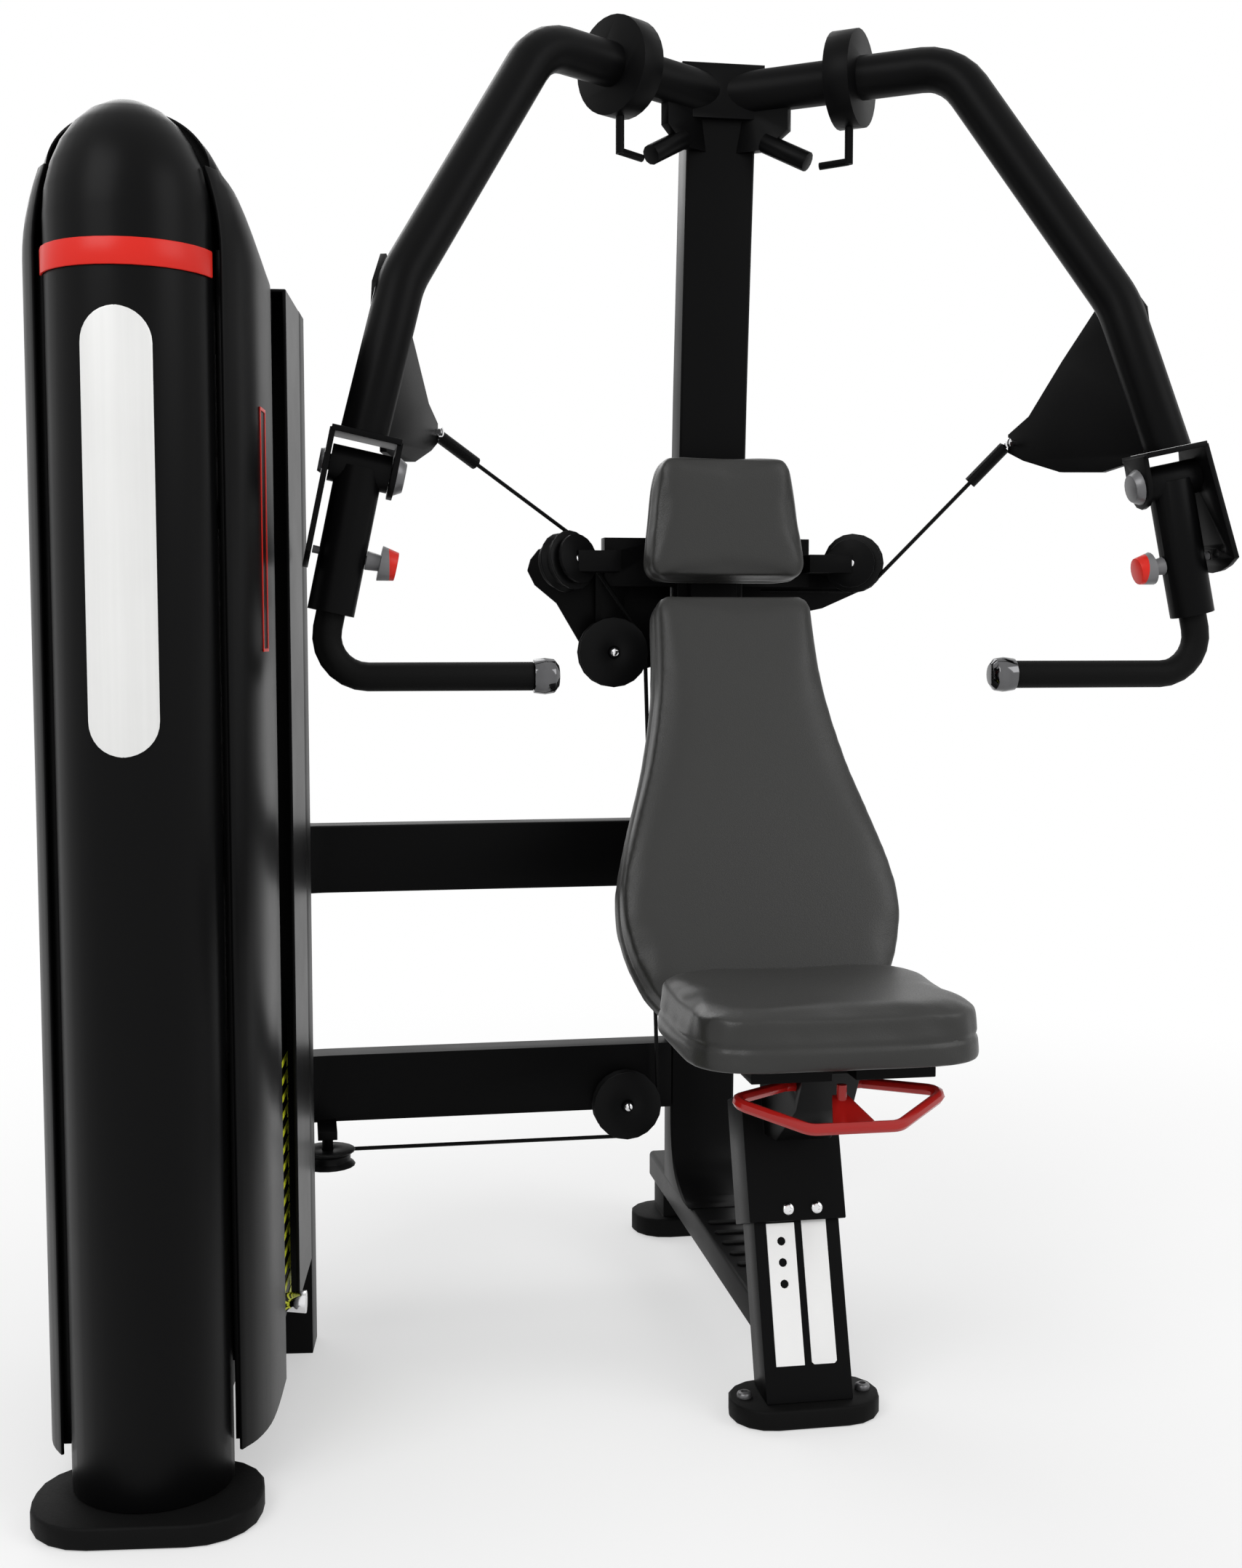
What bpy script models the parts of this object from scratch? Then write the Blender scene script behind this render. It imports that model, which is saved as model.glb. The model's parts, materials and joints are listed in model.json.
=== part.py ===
"""Selectorised press machine: overhead swinging arms, reclined bench, weight stack tower.

Metres, +Z up. The seated user faces -Y, the weight tower stands at -X. The origin is the
middle of the underside of the front foot, on the bench's centre plane.
"""
import math

import bmesh
import bpy
from mathutils import Matrix, Vector

# Clearances
GAP = 0.0003
RUN = 0.001

# Main tube frame, edges as (Y, Z) from the top down
MAST_WIDTH = 0.100
MAST_FRONT_EDGE = [(0.480, 1.712), (0.510, 1.45), (0.530, 1.24), (0.552, 0.90), (0.572, 0.50),
                   (0.586, 0.28), (0.584, 0.200), (0.562, 0.152), (0.520, 0.128), (0.463, 0.1165)]
MAST_REAR_EDGE = [(0.540, 1.712), (0.570, 1.45), (0.592, 1.24), (0.612, 0.90), (0.628, 0.50),
                  (0.636, 0.28), (0.638, 0.1165)]
BOW_WIDTH = 0.060
BOW_DEPTH = 0.044
BOW_ROUTE = [(0.555, 1.690), (0.604, 1.50), (0.658, 1.28), (0.676, 0.90), (0.668, 0.50), (0.664, 0.1165)]
BASE_WIDTH = 0.090
BASE_LOW_Z = 0.073
BASE_HIGH_Z = 0.116
BASE_REAR_Y = 0.790
BEAM_DEPTH = 0.050
BEAM_HEIGHT = 0.100
BEAM_BEND_RADIUS = 0.150
BEAM_Y = 0.605
UPPER_BEAM_Z = 0.637
LOWER_BEAM_Z = 0.293

# Feet
FOOT_HEIGHT = 0.025
FRONT_FOOT_LENGTH = 0.190
FRONT_FOOT_DEPTH = 0.105
REAR_FOOT_LENGTH = 0.165
REAR_FOOT_DEPTH = 0.110
REAR_FOOT_Y = 0.740
REAR_FOOT_HEIGHT = 0.030
RISER_HALF = 0.038

# Seat post and seat
POST_WIDTH = 0.110
POST_DEPTH = 0.060
POST_FOOT = Vector((0.0, 0.0, FOOT_HEIGHT + GAP))
POST_TILT = math.radians(19.0)
POST_LENGTH = 0.330
SEAT_TRAVEL = 0.080
SLEEVE_WALL = 0.007
SLEEVE_LENGTH = 0.160
SLEEVE_START = 0.208
STRIP_WIDTH = 0.036
STRIP_LENGTH = 0.172
STRIP_THICK = 0.002
STRIP_SIDE = 0.022
SEAT_WIDTH = 0.360
SEAT_DEPTH = 0.320
SEAT_THICK = 0.072
SEAT_TOP_Z = 0.543
SEAT_MIDDLE_Y = -0.030
SEAT_CORNER = 0.075
LEVER_RADIUS = 0.007
LEVER_HALF_WIDTH = 0.130
LEVER_FRONT_HALF = 0.052
LEVER_BAR_HALF = 0.048
LEVER_BAR_RADIUS = 0.0066
LEVER_HINGE = Vector((0.0, -0.075, 0.434))
LEVER_TIP = Vector((0.0, -0.140, 0.436))
LEVER_FRONT = Vector((0.0, -0.205, 0.416))
LINK_FOOT = Vector((0.0, -0.150, 0.4305))
LINK_RISE = 0.0215
LINK_RADIUS = 0.006
WEB_NOSE_Z = 0.404
WEB_KNEE_Z = 0.344

# Pads
BACK_TILT = math.radians(23.5)
BACK_TOP = Vector((0.0, 0.392, 1.034))
BACK_LENGTH = 0.620
BACK_THICK = 0.070
BACK_TOP_WIDTH = 0.240
BACK_FULL_WIDTH = 0.400
HEAD_TILT = math.radians(7.0)
HEAD_BOTTOM = Vector((0.0, 0.420, 1.046))
HEAD_LENGTH = 0.184
HEAD_THICK = 0.060
HEAD_BOTTOM_WIDTH = 0.240
HEAD_TOP_WIDTH = 0.204
PAD_PLATE_THICK = 0.008

# Pivot yoke and arms
YOKE_CENTRE = Vector((0.0, 0.510, 1.742))
YOKE_SWEEP = math.radians(35.0)
TUBE_RADIUS = 0.030
YOKE_REACH = 0.180
SHAFT_RADIUS = 0.012
DISC_RADIUS = 0.066
STOP_WEB_REACH = 0.110
STOP_DROP = 0.084
STOP_TIP = 0.138
FINGER_RADIUS = 0.006
FINGER_DROP = 0.112
DISC_THICK = 0.036
ARM_BEND_OUT = 0.165
ARM_KNEE = Vector((0.475, 0.188, 1.408))
ARM_END = Vector((0.523, 0.141, 1.222))
ARM_TUCK = 0.040
ARM_TOP_RADIUS = 0.080
ARM_KNEE_RADIUS = 0.150
GUSSET_THICK = 0.008
GUSSET_REACH = 0.285
GUSSET_TOP = 0.222

# Handle end of each arm, square to a pivot that rises outwards
FORK_PIVOT = Vector((0.531, 0.143, 1.171))
FORK_RISE = math.radians(12.0)
FORK_WIDTH = 0.076
FORK_PLATE = 0.007
FORK_TOP = 0.042
FORK_HALF_DEPTH = 0.036
LUG_RADIUS = 0.030
BUSH_RADIUS = 0.023
PIN_RADIUS = 0.010
PIN_CAP_RADIUS = 0.024
PIN_CAP_THICK = 0.010
SLEEVE_TUBE_RADIUS = 0.029
SLEEVE_TUBE_LENGTH = 0.180
HANDLE_RADIUS = 0.018
HANDLE_SOCKET = 0.060
HANDLE_Z = 0.916
HANDLE_BEND_RADIUS = 0.050
HANDLE_INNER_X = 0.318
CAP_RADIUS = 0.023
CAP_LENGTH = 0.032
KNOB_RADIUS = 0.022
KNOB_REACH = 0.108
SECTOR_RADIUS = 0.132
SECTOR_SPREAD = 30
SECTOR_HOLE_RADIUS = 0.006

# Pulleys and cables
CABLE_RADIUS = 0.003
CABLE_EASE = 0.0008
PULLEY_RADIUS = 0.052
PULLEY_THICK = 0.024
GROOVE_DEPTH = 0.007
AXLE_RADIUS = 0.008
SIDE_PULLEY = Vector((0.217, 0.530, 1.075))
BRACKET_Y = 0.578
SIDE_PULLEY_RADIUS = 0.044
COLUMN_PULLEY = Vector((-0.146, 0.556, 0.942))
BEAM_PULLEY = Vector((-0.125, 0.556, 0.256))
CROSSING = Vector((0.030, 0.626, 1.035))
TOWER_SIDE_PULLEY_X = -0.575
TOWER_SIDE_PULLEY_RADIUS = 0.040
BRACKET_DEPTH = 0.030
FERRULE_RADIUS = 0.009
FERRULE_LENGTH = 0.075

# Weight tower, in its own turned frame
TOWER_PLACE = Vector((-0.780, -0.100, 0.0))
TOWER_TURN = math.radians(-6.0)
COLUMN_RADIUS = 0.089
COLUMN_WALL = 0.003
COLUMN_TOP_Z = 1.530
COLUMN_DOME = 0.125
BAND_HEIGHT = 0.028
BAND_Z = 1.358
BAND_THICK = 0.003
COVER_HALF_WIDTH = 0.125
COVER_THICK = 0.004
COVER_TOP_Z = 1.462
COVER_BOTTOM_Z = 0.060
COVER_REAR = 0.182
COVER_SLOPE = math.tan(math.radians(20.0))
COVER_LEAN_Z = 1.370
COVER_LEAN = 0.016
COVER_LEAN_STEPS = 6
HOOD_HALF_WIDTH = 0.136
HOOD_FRONT = 0.262
HOOD_LOW_Z = 0.130
HOOD_WALL = 0.004
TOWER_REAR = 0.475
TOWER_POST_DEPTH = 0.060
TOWER_HEIGHT = 1.385
TOP_BEAM_LOW_Z = 1.330
TOP_BEAM_HIGH_Z = 1.365
TOWER_FOOT_LENGTH = 0.250
TOWER_FOOT_DEPTH = 0.165
TOWER_FOOT_S = -0.036
STACK_S = 0.222
PLATE_WIDTH = 0.236
PLATE_LENGTH = 0.200
PLATE_PITCH = 0.022
PLATE_GROOVE = 0.002
RESTING_PLATES = 1
LIFTED_PLATES = 14
STACK_BOTTOM_Z = 0.109
TOP_PLATE_THICK = 0.030
ROD_RADIUS = 0.010
ROD_SPACING = 0.140
ROD_TOP_Z = 1.180
ROD_TIE_THICK = 0.014
STEM_RADIUS = 0.012
STEM_RISE = 0.030
STEM_FLOOR = 0.008
SELECTOR_RADIUS = 0.005
TOP_PULLEY_RADIUS = 0.062
TOP_PULLEY_Z = 1.262
BASE_PULLEY_RADIUS = 0.036

# Finishes: colour, roughness, metallic
BLACK_STEEL = ((0.018, 0.018, 0.019, 1), 0.42, 0.0)
GREY_STEEL = ((0.16, 0.16, 0.17, 1), 0.40, 0.2)
CHARCOAL_VINYL = ((0.045, 0.045, 0.043, 1), 0.55, 0.0)
RED_PAINT = ((0.70, 0.03, 0.02, 1), 0.35, 0.0)
RUBBER = ((0.02, 0.02, 0.02, 1), 0.75, 0.0)
CHROME = ((0.75, 0.75, 0.76, 1), 0.15, 1.0)
WHITE_PLATE = ((0.80, 0.80, 0.80, 1), 0.45, 0.0)
NYLON = ((0.03, 0.03, 0.03, 1), 0.5, 0.0)


def clear_scene():
    """Remove every object of the startup scene."""
    for obj in list(bpy.data.objects):
        bpy.data.objects.remove(obj, do_unlink=True)


def new_collection(name):
    """Make a collection in the scene."""
    group = bpy.data.collections.new(name)
    bpy.context.scene.collection.children.link(group)
    return group


clear_scene()
PARTS = new_collection("press_machine")
CUTTERS = new_collection("cutters")


def finish(obj, look):
    """Give an object its own material."""
    colour, roughness, metallic = look
    material = bpy.data.materials.new(obj.name + "_finish")
    material.use_nodes = True
    shader = material.node_tree.nodes["Principled BSDF"]
    shader.inputs["Base Color"].default_value = colour
    shader.inputs["Roughness"].default_value = roughness
    shader.inputs["Metallic"].default_value = metallic
    obj.data.materials.clear()
    obj.data.materials.append(material)
    return obj


def link(obj, parent=None, keep=True):
    """Put an object among the parts, on a parent empty if there is one."""
    PARTS.objects.link(obj)
    if parent is not None:
        obj.parent = parent
        if keep:
            obj.matrix_parent_inverse = parent.matrix_world.inverted()
    return obj


def empty(name, place, turn=0.0):
    """An empty that marks a joint axis or a sub-assembly's frame."""
    axis = bpy.data.objects.new(name, None)
    PARTS.objects.link(axis)
    axis.location = place
    axis.rotation_euler = (0.0, 0.0, turn)
    bpy.context.view_layer.update()
    return axis


def mesh_object(name, bm):
    """Turn a bmesh into an unlinked object with outward faces."""
    bmesh.ops.recalc_face_normals(bm, faces=bm.faces)
    mesh = bpy.data.meshes.new(name)
    bm.to_mesh(mesh)
    bm.free()
    return bpy.data.objects.new(name, mesh)


def box(name, low, high, turn=None):
    """A box between two corners, with an optional matrix."""
    low, high = Vector(low), Vector(high)
    bm = bmesh.new()
    place = Matrix.Translation((low + high) / 2) @ Matrix.Diagonal((high - low).to_4d())
    bmesh.ops.create_cube(bm, size=1.0, matrix=(turn or Matrix()) @ place)
    return mesh_object(name, bm)


def rod(name, start, end, radius, sides=24, radius_end=None):
    """A round bar or cone between two points."""
    start, end = Vector(start), Vector(end)
    line = end - start
    place = Matrix.Translation((start + end) / 2) @ line.to_track_quat("Z", "Y").to_matrix().to_4x4()
    bm = bmesh.new()
    bmesh.ops.create_cone(bm, cap_ends=True, segments=sides, radius1=radius,
                          radius2=radius if radius_end is None else radius_end,
                          depth=line.length, matrix=place)
    return mesh_object(name, bm)


def to_mesh(obj):
    """Replace a curve or a modified object by its evaluated, welded mesh."""
    if obj.name not in bpy.context.scene.collection.all_objects:
        CUTTERS.objects.link(obj)
    bpy.context.view_layer.update()
    graph = bpy.context.evaluated_depsgraph_get()
    mesh = bpy.data.meshes.new_from_object(obj.evaluated_get(graph))
    bm = bmesh.new()
    bm.from_mesh(mesh)
    bmesh.ops.remove_doubles(bm, verts=bm.verts, dist=1e-5)
    bmesh.ops.recalc_face_normals(bm, faces=bm.faces)
    bm.to_mesh(mesh)
    bm.free()
    name, place = obj.name, obj.matrix_world.copy()
    bpy.data.objects.remove(obj, do_unlink=True)
    made = bpy.data.objects.new(name, mesh)
    made.matrix_world = place
    return made


def smooth_route(points, per_span):
    """Points on a smooth curve through the given ones (Catmull-Rom)."""
    ends = [2 * points[0] - points[1]] + list(points) + [2 * points[-1] - points[-2]]
    made = []
    for i in range(1, len(ends) - 2):
        a, b, c, d = ends[i - 1:i + 3]
        for k in range(per_span):
            t = k / per_span
            made.append(0.5 * (2 * b + (c - a) * t + (2 * a - 5 * b + 4 * c - d) * t * t
                               + (3 * b - a - 3 * c + d) * t ** 3))
    made.append(points[-1].copy())
    return made


def rounded_route(points, radii, steps=6):
    """A route of straight runs with an arc of the given radius at each inner corner."""
    made = [Vector(points[0])]
    for i in range(1, len(points) - 1):
        a, b, c = Vector(points[i - 1]), Vector(points[i]), Vector(points[i + 1])
        u, v = (a - b).normalized(), (c - b).normalized()
        half = u.angle(v) / 2
        reach = radii[i - 1] / math.tan(half)
        middle = b + (u + v).normalized() * (radii[i - 1] / math.sin(half))
        start, end = b + u * reach - middle, b + v * reach - middle
        for k in range(steps + 1):
            made.append(middle + slerp(start, end, k / steps))
    made.append(Vector(points[-1]))
    return made


def slerp(start, end, share):
    """Turn one radius of an arc towards another."""
    angle = start.angle(end)
    return (start * math.sin((1 - share) * angle) + end * math.sin(share * angle)) / math.sin(angle)


def tube(name, points, radius, rings=6):
    """A round tube along a route, with closed ends."""
    curve = bpy.data.curves.new(name, "CURVE")
    curve.dimensions = "3D"
    curve.bevel_depth = radius
    curve.bevel_resolution = rings
    curve.use_fill_caps = True
    spline = curve.splines.new("POLY")
    spline.points.add(len(points) - 1)
    for knot, place in zip(spline.points, points):
        knot.co = (*place, 1.0)
    return bpy.data.objects.new(name, curve)


def plate(name, outline, thick, frame=None):
    """A flat outline given as (x, y) points, extruded to a thickness about its plane."""
    curve = bpy.data.curves.new(name, "CURVE")
    curve.dimensions = "2D"
    curve.fill_mode = "BOTH"
    curve.extrude = thick / 2
    spline = curve.splines.new("POLY")
    spline.points.add(len(outline) - 1)
    for knot, place in zip(spline.points, outline):
        knot.co = (place[0], place[1], 0.0, 1.0)
    spline.use_cyclic_u = True
    obj = bpy.data.objects.new(name, curve)
    made = to_mesh(obj)
    if frame is not None:
        made.data.transform(frame)
    return made


def turned(name, profile, place, steps=32):
    """A shape of revolution about Z from (radius, height) points on its outer side, top first."""
    mesh = bpy.data.meshes.new(name)
    corners = [(r, 0.0, z) for r, z in profile]
    mesh.from_pydata(corners, [(i, i + 1) for i in range(len(corners) - 1)], [])
    obj = bpy.data.objects.new(name, mesh)
    screw = obj.modifiers.new("turn", "SCREW")
    screw.steps = steps
    screw.render_steps = steps
    screw.use_merge_vertices = True
    screw.merge_threshold = 0.0001
    made = to_mesh(obj)
    made.data.transform(place)
    return made


def cut(obj, cutter, operation="DIFFERENCE"):
    """Cut or join one solid with another, and drop the other."""
    if obj.name not in bpy.context.scene.collection.all_objects:
        CUTTERS.objects.link(obj)
    if cutter.name not in bpy.context.scene.collection.all_objects:
        CUTTERS.objects.link(cutter)
    step = obj.modifiers.new("cut", "BOOLEAN")
    step.operation = operation
    step.solver = "EXACT"
    step.object = cutter
    made = to_mesh(obj)
    bpy.data.objects.remove(cutter, do_unlink=True)
    return made


def join(obj, *others):
    """Weld solids into one."""
    for other in others:
        obj = cut(obj, other, "UNION")
    return obj


def soften(obj, width, segments=2):
    """Round an object's edges."""
    weld = obj.modifiers.new("weld", "WELD")
    weld.merge_threshold = 0.00005
    step = obj.modifiers.new("edges", "BEVEL")
    step.width = width
    step.segments = segments
    step.limit_method = "ANGLE"
    step.angle_limit = math.radians(40)
    return obj


def smooth(obj, angle=35.0):
    """Shade round faces smooth."""
    obj.data.shade_smooth()
    obj.data.set_sharp_from_angle(angle=math.radians(angle))
    return obj


def stadium(length, depth, corner, steps=6):
    """Outline of a rectangle with round corners."""
    made = []
    for sx, sy, start in ((1, 1, 0), (-1, 1, 90), (-1, -1, 180), (1, -1, 270)):
        for k in range(steps + 1):
            angle = math.radians(start + 90 * k / steps)
            made.append((sx * (length / 2 - corner) + corner * math.cos(angle),
                         sy * (depth / 2 - corner) + corner * math.sin(angle)))
    return made


def thick_route(points, width):
    """Outline of a flat band of the given width along a 2D route."""
    left, right = [], []
    for i, place in enumerate(points):
        before = points[max(i - 1, 0)]
        after = points[min(i + 1, len(points) - 1)]
        along = (after - before).normalized()
        across = Vector((-along.y, along.x)) * width / 2
        left.append(place + across)
        right.append(place - across)
    return left + right[::-1]


def side_frame(x_middle=0.0):
    """Maps an outline's (x, y) to the machine's (Y, Z), thickness along X."""
    return Matrix(((0, 0, 1, x_middle), (1, 0, 0, 0), (0, 1, 0, 0), (0, 0, 0, 1)))


def mirrored(point, side):
    """A point of the right half, or its twin on the left."""
    return Vector((point.x * side, point.y, point.z))


def named(side, piece):
    """Piece name with its side first."""
    return ("right_" if side > 0 else "left_") + piece


# Directions that several pieces share
POST_UP = Vector((0.0, math.sin(POST_TILT), math.cos(POST_TILT)))
POST_FRONT = Vector((0.0, -math.cos(POST_TILT), math.sin(POST_TILT)))
BACK_UP = Vector((0.0, math.sin(BACK_TILT), math.cos(BACK_TILT)))
BACK_FRONT = Vector((0.0, -math.cos(BACK_TILT), math.sin(BACK_TILT)))
HEAD_UP = Vector((0.0, math.sin(HEAD_TILT), math.cos(HEAD_TILT)))
HEAD_FRONT = Vector((0.0, -math.cos(HEAD_TILT), math.sin(HEAD_TILT)))
TOWER_DEPTH = Vector((-math.sin(TOWER_TURN), math.cos(TOWER_TURN), 0.0))


def tilted_frame(place, up, front):
    """Matrix whose x is the machine's X, y runs up a tilted face and z points out of it."""
    right = Vector((1.0, 0.0, 0.0))
    return Matrix((
        (right.x, up.x, front.x, place.x),
        (right.y, up.y, front.y, place.y),
        (right.z, up.z, front.z, place.z),
        (0.0, 0.0, 0.0, 1.0)))


def yoke_axis(side):
    """Outward direction of one overhead pivot."""
    return Vector((side * math.cos(YOKE_SWEEP), -math.sin(YOKE_SWEEP), 0.0))


def seat_post_solid(name, grow=0.0, start=-0.05, length=POST_LENGTH):
    """The tilted seat post, or a grown copy of it for what meets it."""
    frame = tilted_frame(POST_FOOT, POST_UP, POST_FRONT)
    wide, deep = POST_WIDTH / 2 + grow, POST_DEPTH / 2 + grow
    return box(name, (-wide, start, -deep), (wide, length, deep), frame)


def edge_route(edge, grow=0.0):
    """A smooth (Y, Z) edge, moved along Y by grow."""
    return [p + Vector((grow, 0.0)) for p in smooth_route([Vector(p) for p in edge], 3)]


def mast_solid(name, grow=0.0):
    """The mast, or a grown copy of it for what meets it."""
    outline = edge_route(MAST_FRONT_EDGE, -grow) + edge_route(MAST_REAR_EDGE, grow)[::-1]
    return plate(name, outline, MAST_WIDTH + 2 * grow, side_frame())


def build_main_frame():
    """Base beam, mast, rear bow, cross beams, feet and seat post."""
    base_front = POST_FOOT.y - POST_DEPTH
    base = box("base_beam", (-BASE_WIDTH / 2, base_front, BASE_LOW_Z),
               (BASE_WIDTH / 2, BASE_REAR_Y, BASE_HIGH_Z))
    base = cut(base, seat_post_solid("post_room", GAP))
    base = cut(base, box("front_room", (-0.2, -0.3, 0.0), (0.2, POST_FOOT.y + 0.03, 0.3)))
    link(finish(soften(base, 0.006), BLACK_STEEL))

    link(finish(soften(mast_solid("mast"), 0.008, 1), BLACK_STEEL))

    route = smooth_route([Vector(p) for p in BOW_ROUTE], 3)
    bow = plate("rear_bow", thick_route(route, BOW_DEPTH), BOW_WIDTH, side_frame())
    bow = cut(bow, mast_solid("mast_room", GAP))
    bow = cut(bow, box("base_room", (-0.1, 0.5, 0.0), (0.1, 0.9, BASE_HIGH_Z + GAP)))
    link(finish(soften(bow, 0.004, 1), BLACK_STEEL))

    tower_end = TOWER_PLACE + TOWER_DEPTH * (TOWER_REAR + GAP)
    corner = tower_end + TOWER_DEPTH * ((BEAM_Y - tower_end.y) / TOWER_DEPTH.y)
    start = Vector((-MAST_WIDTH / 2 - GAP, BEAM_Y, 0.0))
    run = rounded_route([start, corner, tower_end], [BEAM_BEND_RADIUS], 8)
    outline = thick_route([p.to_2d() for p in run], BEAM_DEPTH)
    for name, z in (("upper_beam", UPPER_BEAM_Z), ("lower_beam", LOWER_BEAM_Z)):
        beam = plate(name, outline, BEAM_HEIGHT, Matrix.Translation((0, 0, z)))
        if name == "lower_beam":
            beam = add_beam_axles(beam)
        link(finish(soften(beam, 0.003, 1), BLACK_STEEL))

    for name, y, length, depth, high in (
            ("front_foot", 0.0, FRONT_FOOT_LENGTH, FRONT_FOOT_DEPTH, FOOT_HEIGHT),
            ("rear_foot", REAR_FOOT_Y, REAR_FOOT_LENGTH, REAR_FOOT_DEPTH, REAR_FOOT_HEIGHT)):
        foot = plate(name, stadium(length, depth, depth * 0.48, 4), high,
                     Matrix.Translation((0, y, high / 2)))
        foot = soften(foot, 0.005)
        if name == "rear_foot":
            foot = join(foot, box("riser", (-RISER_HALF, y - RISER_HALF, high - 0.006),
                                  (RISER_HALF, y + RISER_HALF, BASE_LOW_Z - GAP)))
        link(finish(smooth(foot), RUBBER))

    floor = box("floor_room", (-0.3, -0.4, -0.3), (0.3, 0.4, FOOT_HEIGHT + GAP))
    link(finish(cut(seat_post_solid("seat_post"), floor), BLACK_STEEL))

    face = POST_FOOT + POST_FRONT * (POST_DEPTH / 2 + GAP + STRIP_THICK / 2)
    strip_frame = tilted_frame(face, POST_UP, POST_FRONT)
    high = SLEEVE_START - 2 * RUN
    strip = box("index_strip", (-STRIP_WIDTH / 2 - STRIP_SIDE, high - STRIP_LENGTH, -STRIP_THICK / 2),
                (STRIP_WIDTH / 2 - STRIP_SIDE, high, STRIP_THICK / 2), strip_frame)
    for k in range(3):
        place = strip_frame @ Vector((-STRIP_SIDE, high - 0.022 - 0.026 * k, 0.0))
        strip = cut(strip, rod("hole", place - POST_FRONT * 0.01, place + POST_FRONT * 0.01, 0.0055, 10))
    link(finish(strip, WHITE_PLATE))


def add_beam_axles(beam):
    """Weld the axle of the beam pulley and the hanger of the tower side pulley to the lower beam."""
    front = BEAM_Y - BEAM_DEPTH / 2
    end = BEAM_PULLEY.y - PULLEY_THICK / 2 - 0.006
    beam = join(beam, rod("axle", (BEAM_PULLEY.x, front + 0.01, BEAM_PULLEY.z),
                          (BEAM_PULLEY.x, end, BEAM_PULLEY.z), AXLE_RADIUS, 16))
    spacer_end = BEAM_PULLEY.y + PULLEY_THICK / 2 + RUN
    beam = join(beam, rod("spacer", (BEAM_PULLEY.x, front + 0.01, BEAM_PULLEY.z),
                          (BEAM_PULLEY.x, spacer_end, BEAM_PULLEY.z), 0.016, 16))
    place = tower_side_pulley_place()
    low = LOWER_BEAM_Z - BEAM_HEIGHT / 2
    arm = box("hanger", (place.x - 0.014, place.y - 0.014, low - 0.008),
              (place.x + 0.014, front + 0.02, low + 0.004))
    axle = rod("hanger_axle", (place.x, place.y, low - 0.004),
               (place.x, place.y, place.z - PULLEY_THICK / 2 - 0.006), AXLE_RADIUS, 16)
    return join(beam, arm, axle)


def tower_side_pulley_place():
    """Centre of the flat-lying pulley under the lower beam, beside the tower."""
    z = BEAM_PULLEY.z - groove_route_radius(PULLEY_RADIUS)
    y = BEAM_PULLEY.y - groove_route_radius(TOWER_SIDE_PULLEY_RADIUS)
    return Vector((TOWER_SIDE_PULLEY_X, y, z))


def groove_route_radius(radius):
    """Radius of a cable's centre line in the groove of a pulley."""
    return radius - GROOVE_DEPTH + CABLE_RADIUS + GAP + CABLE_EASE


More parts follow.
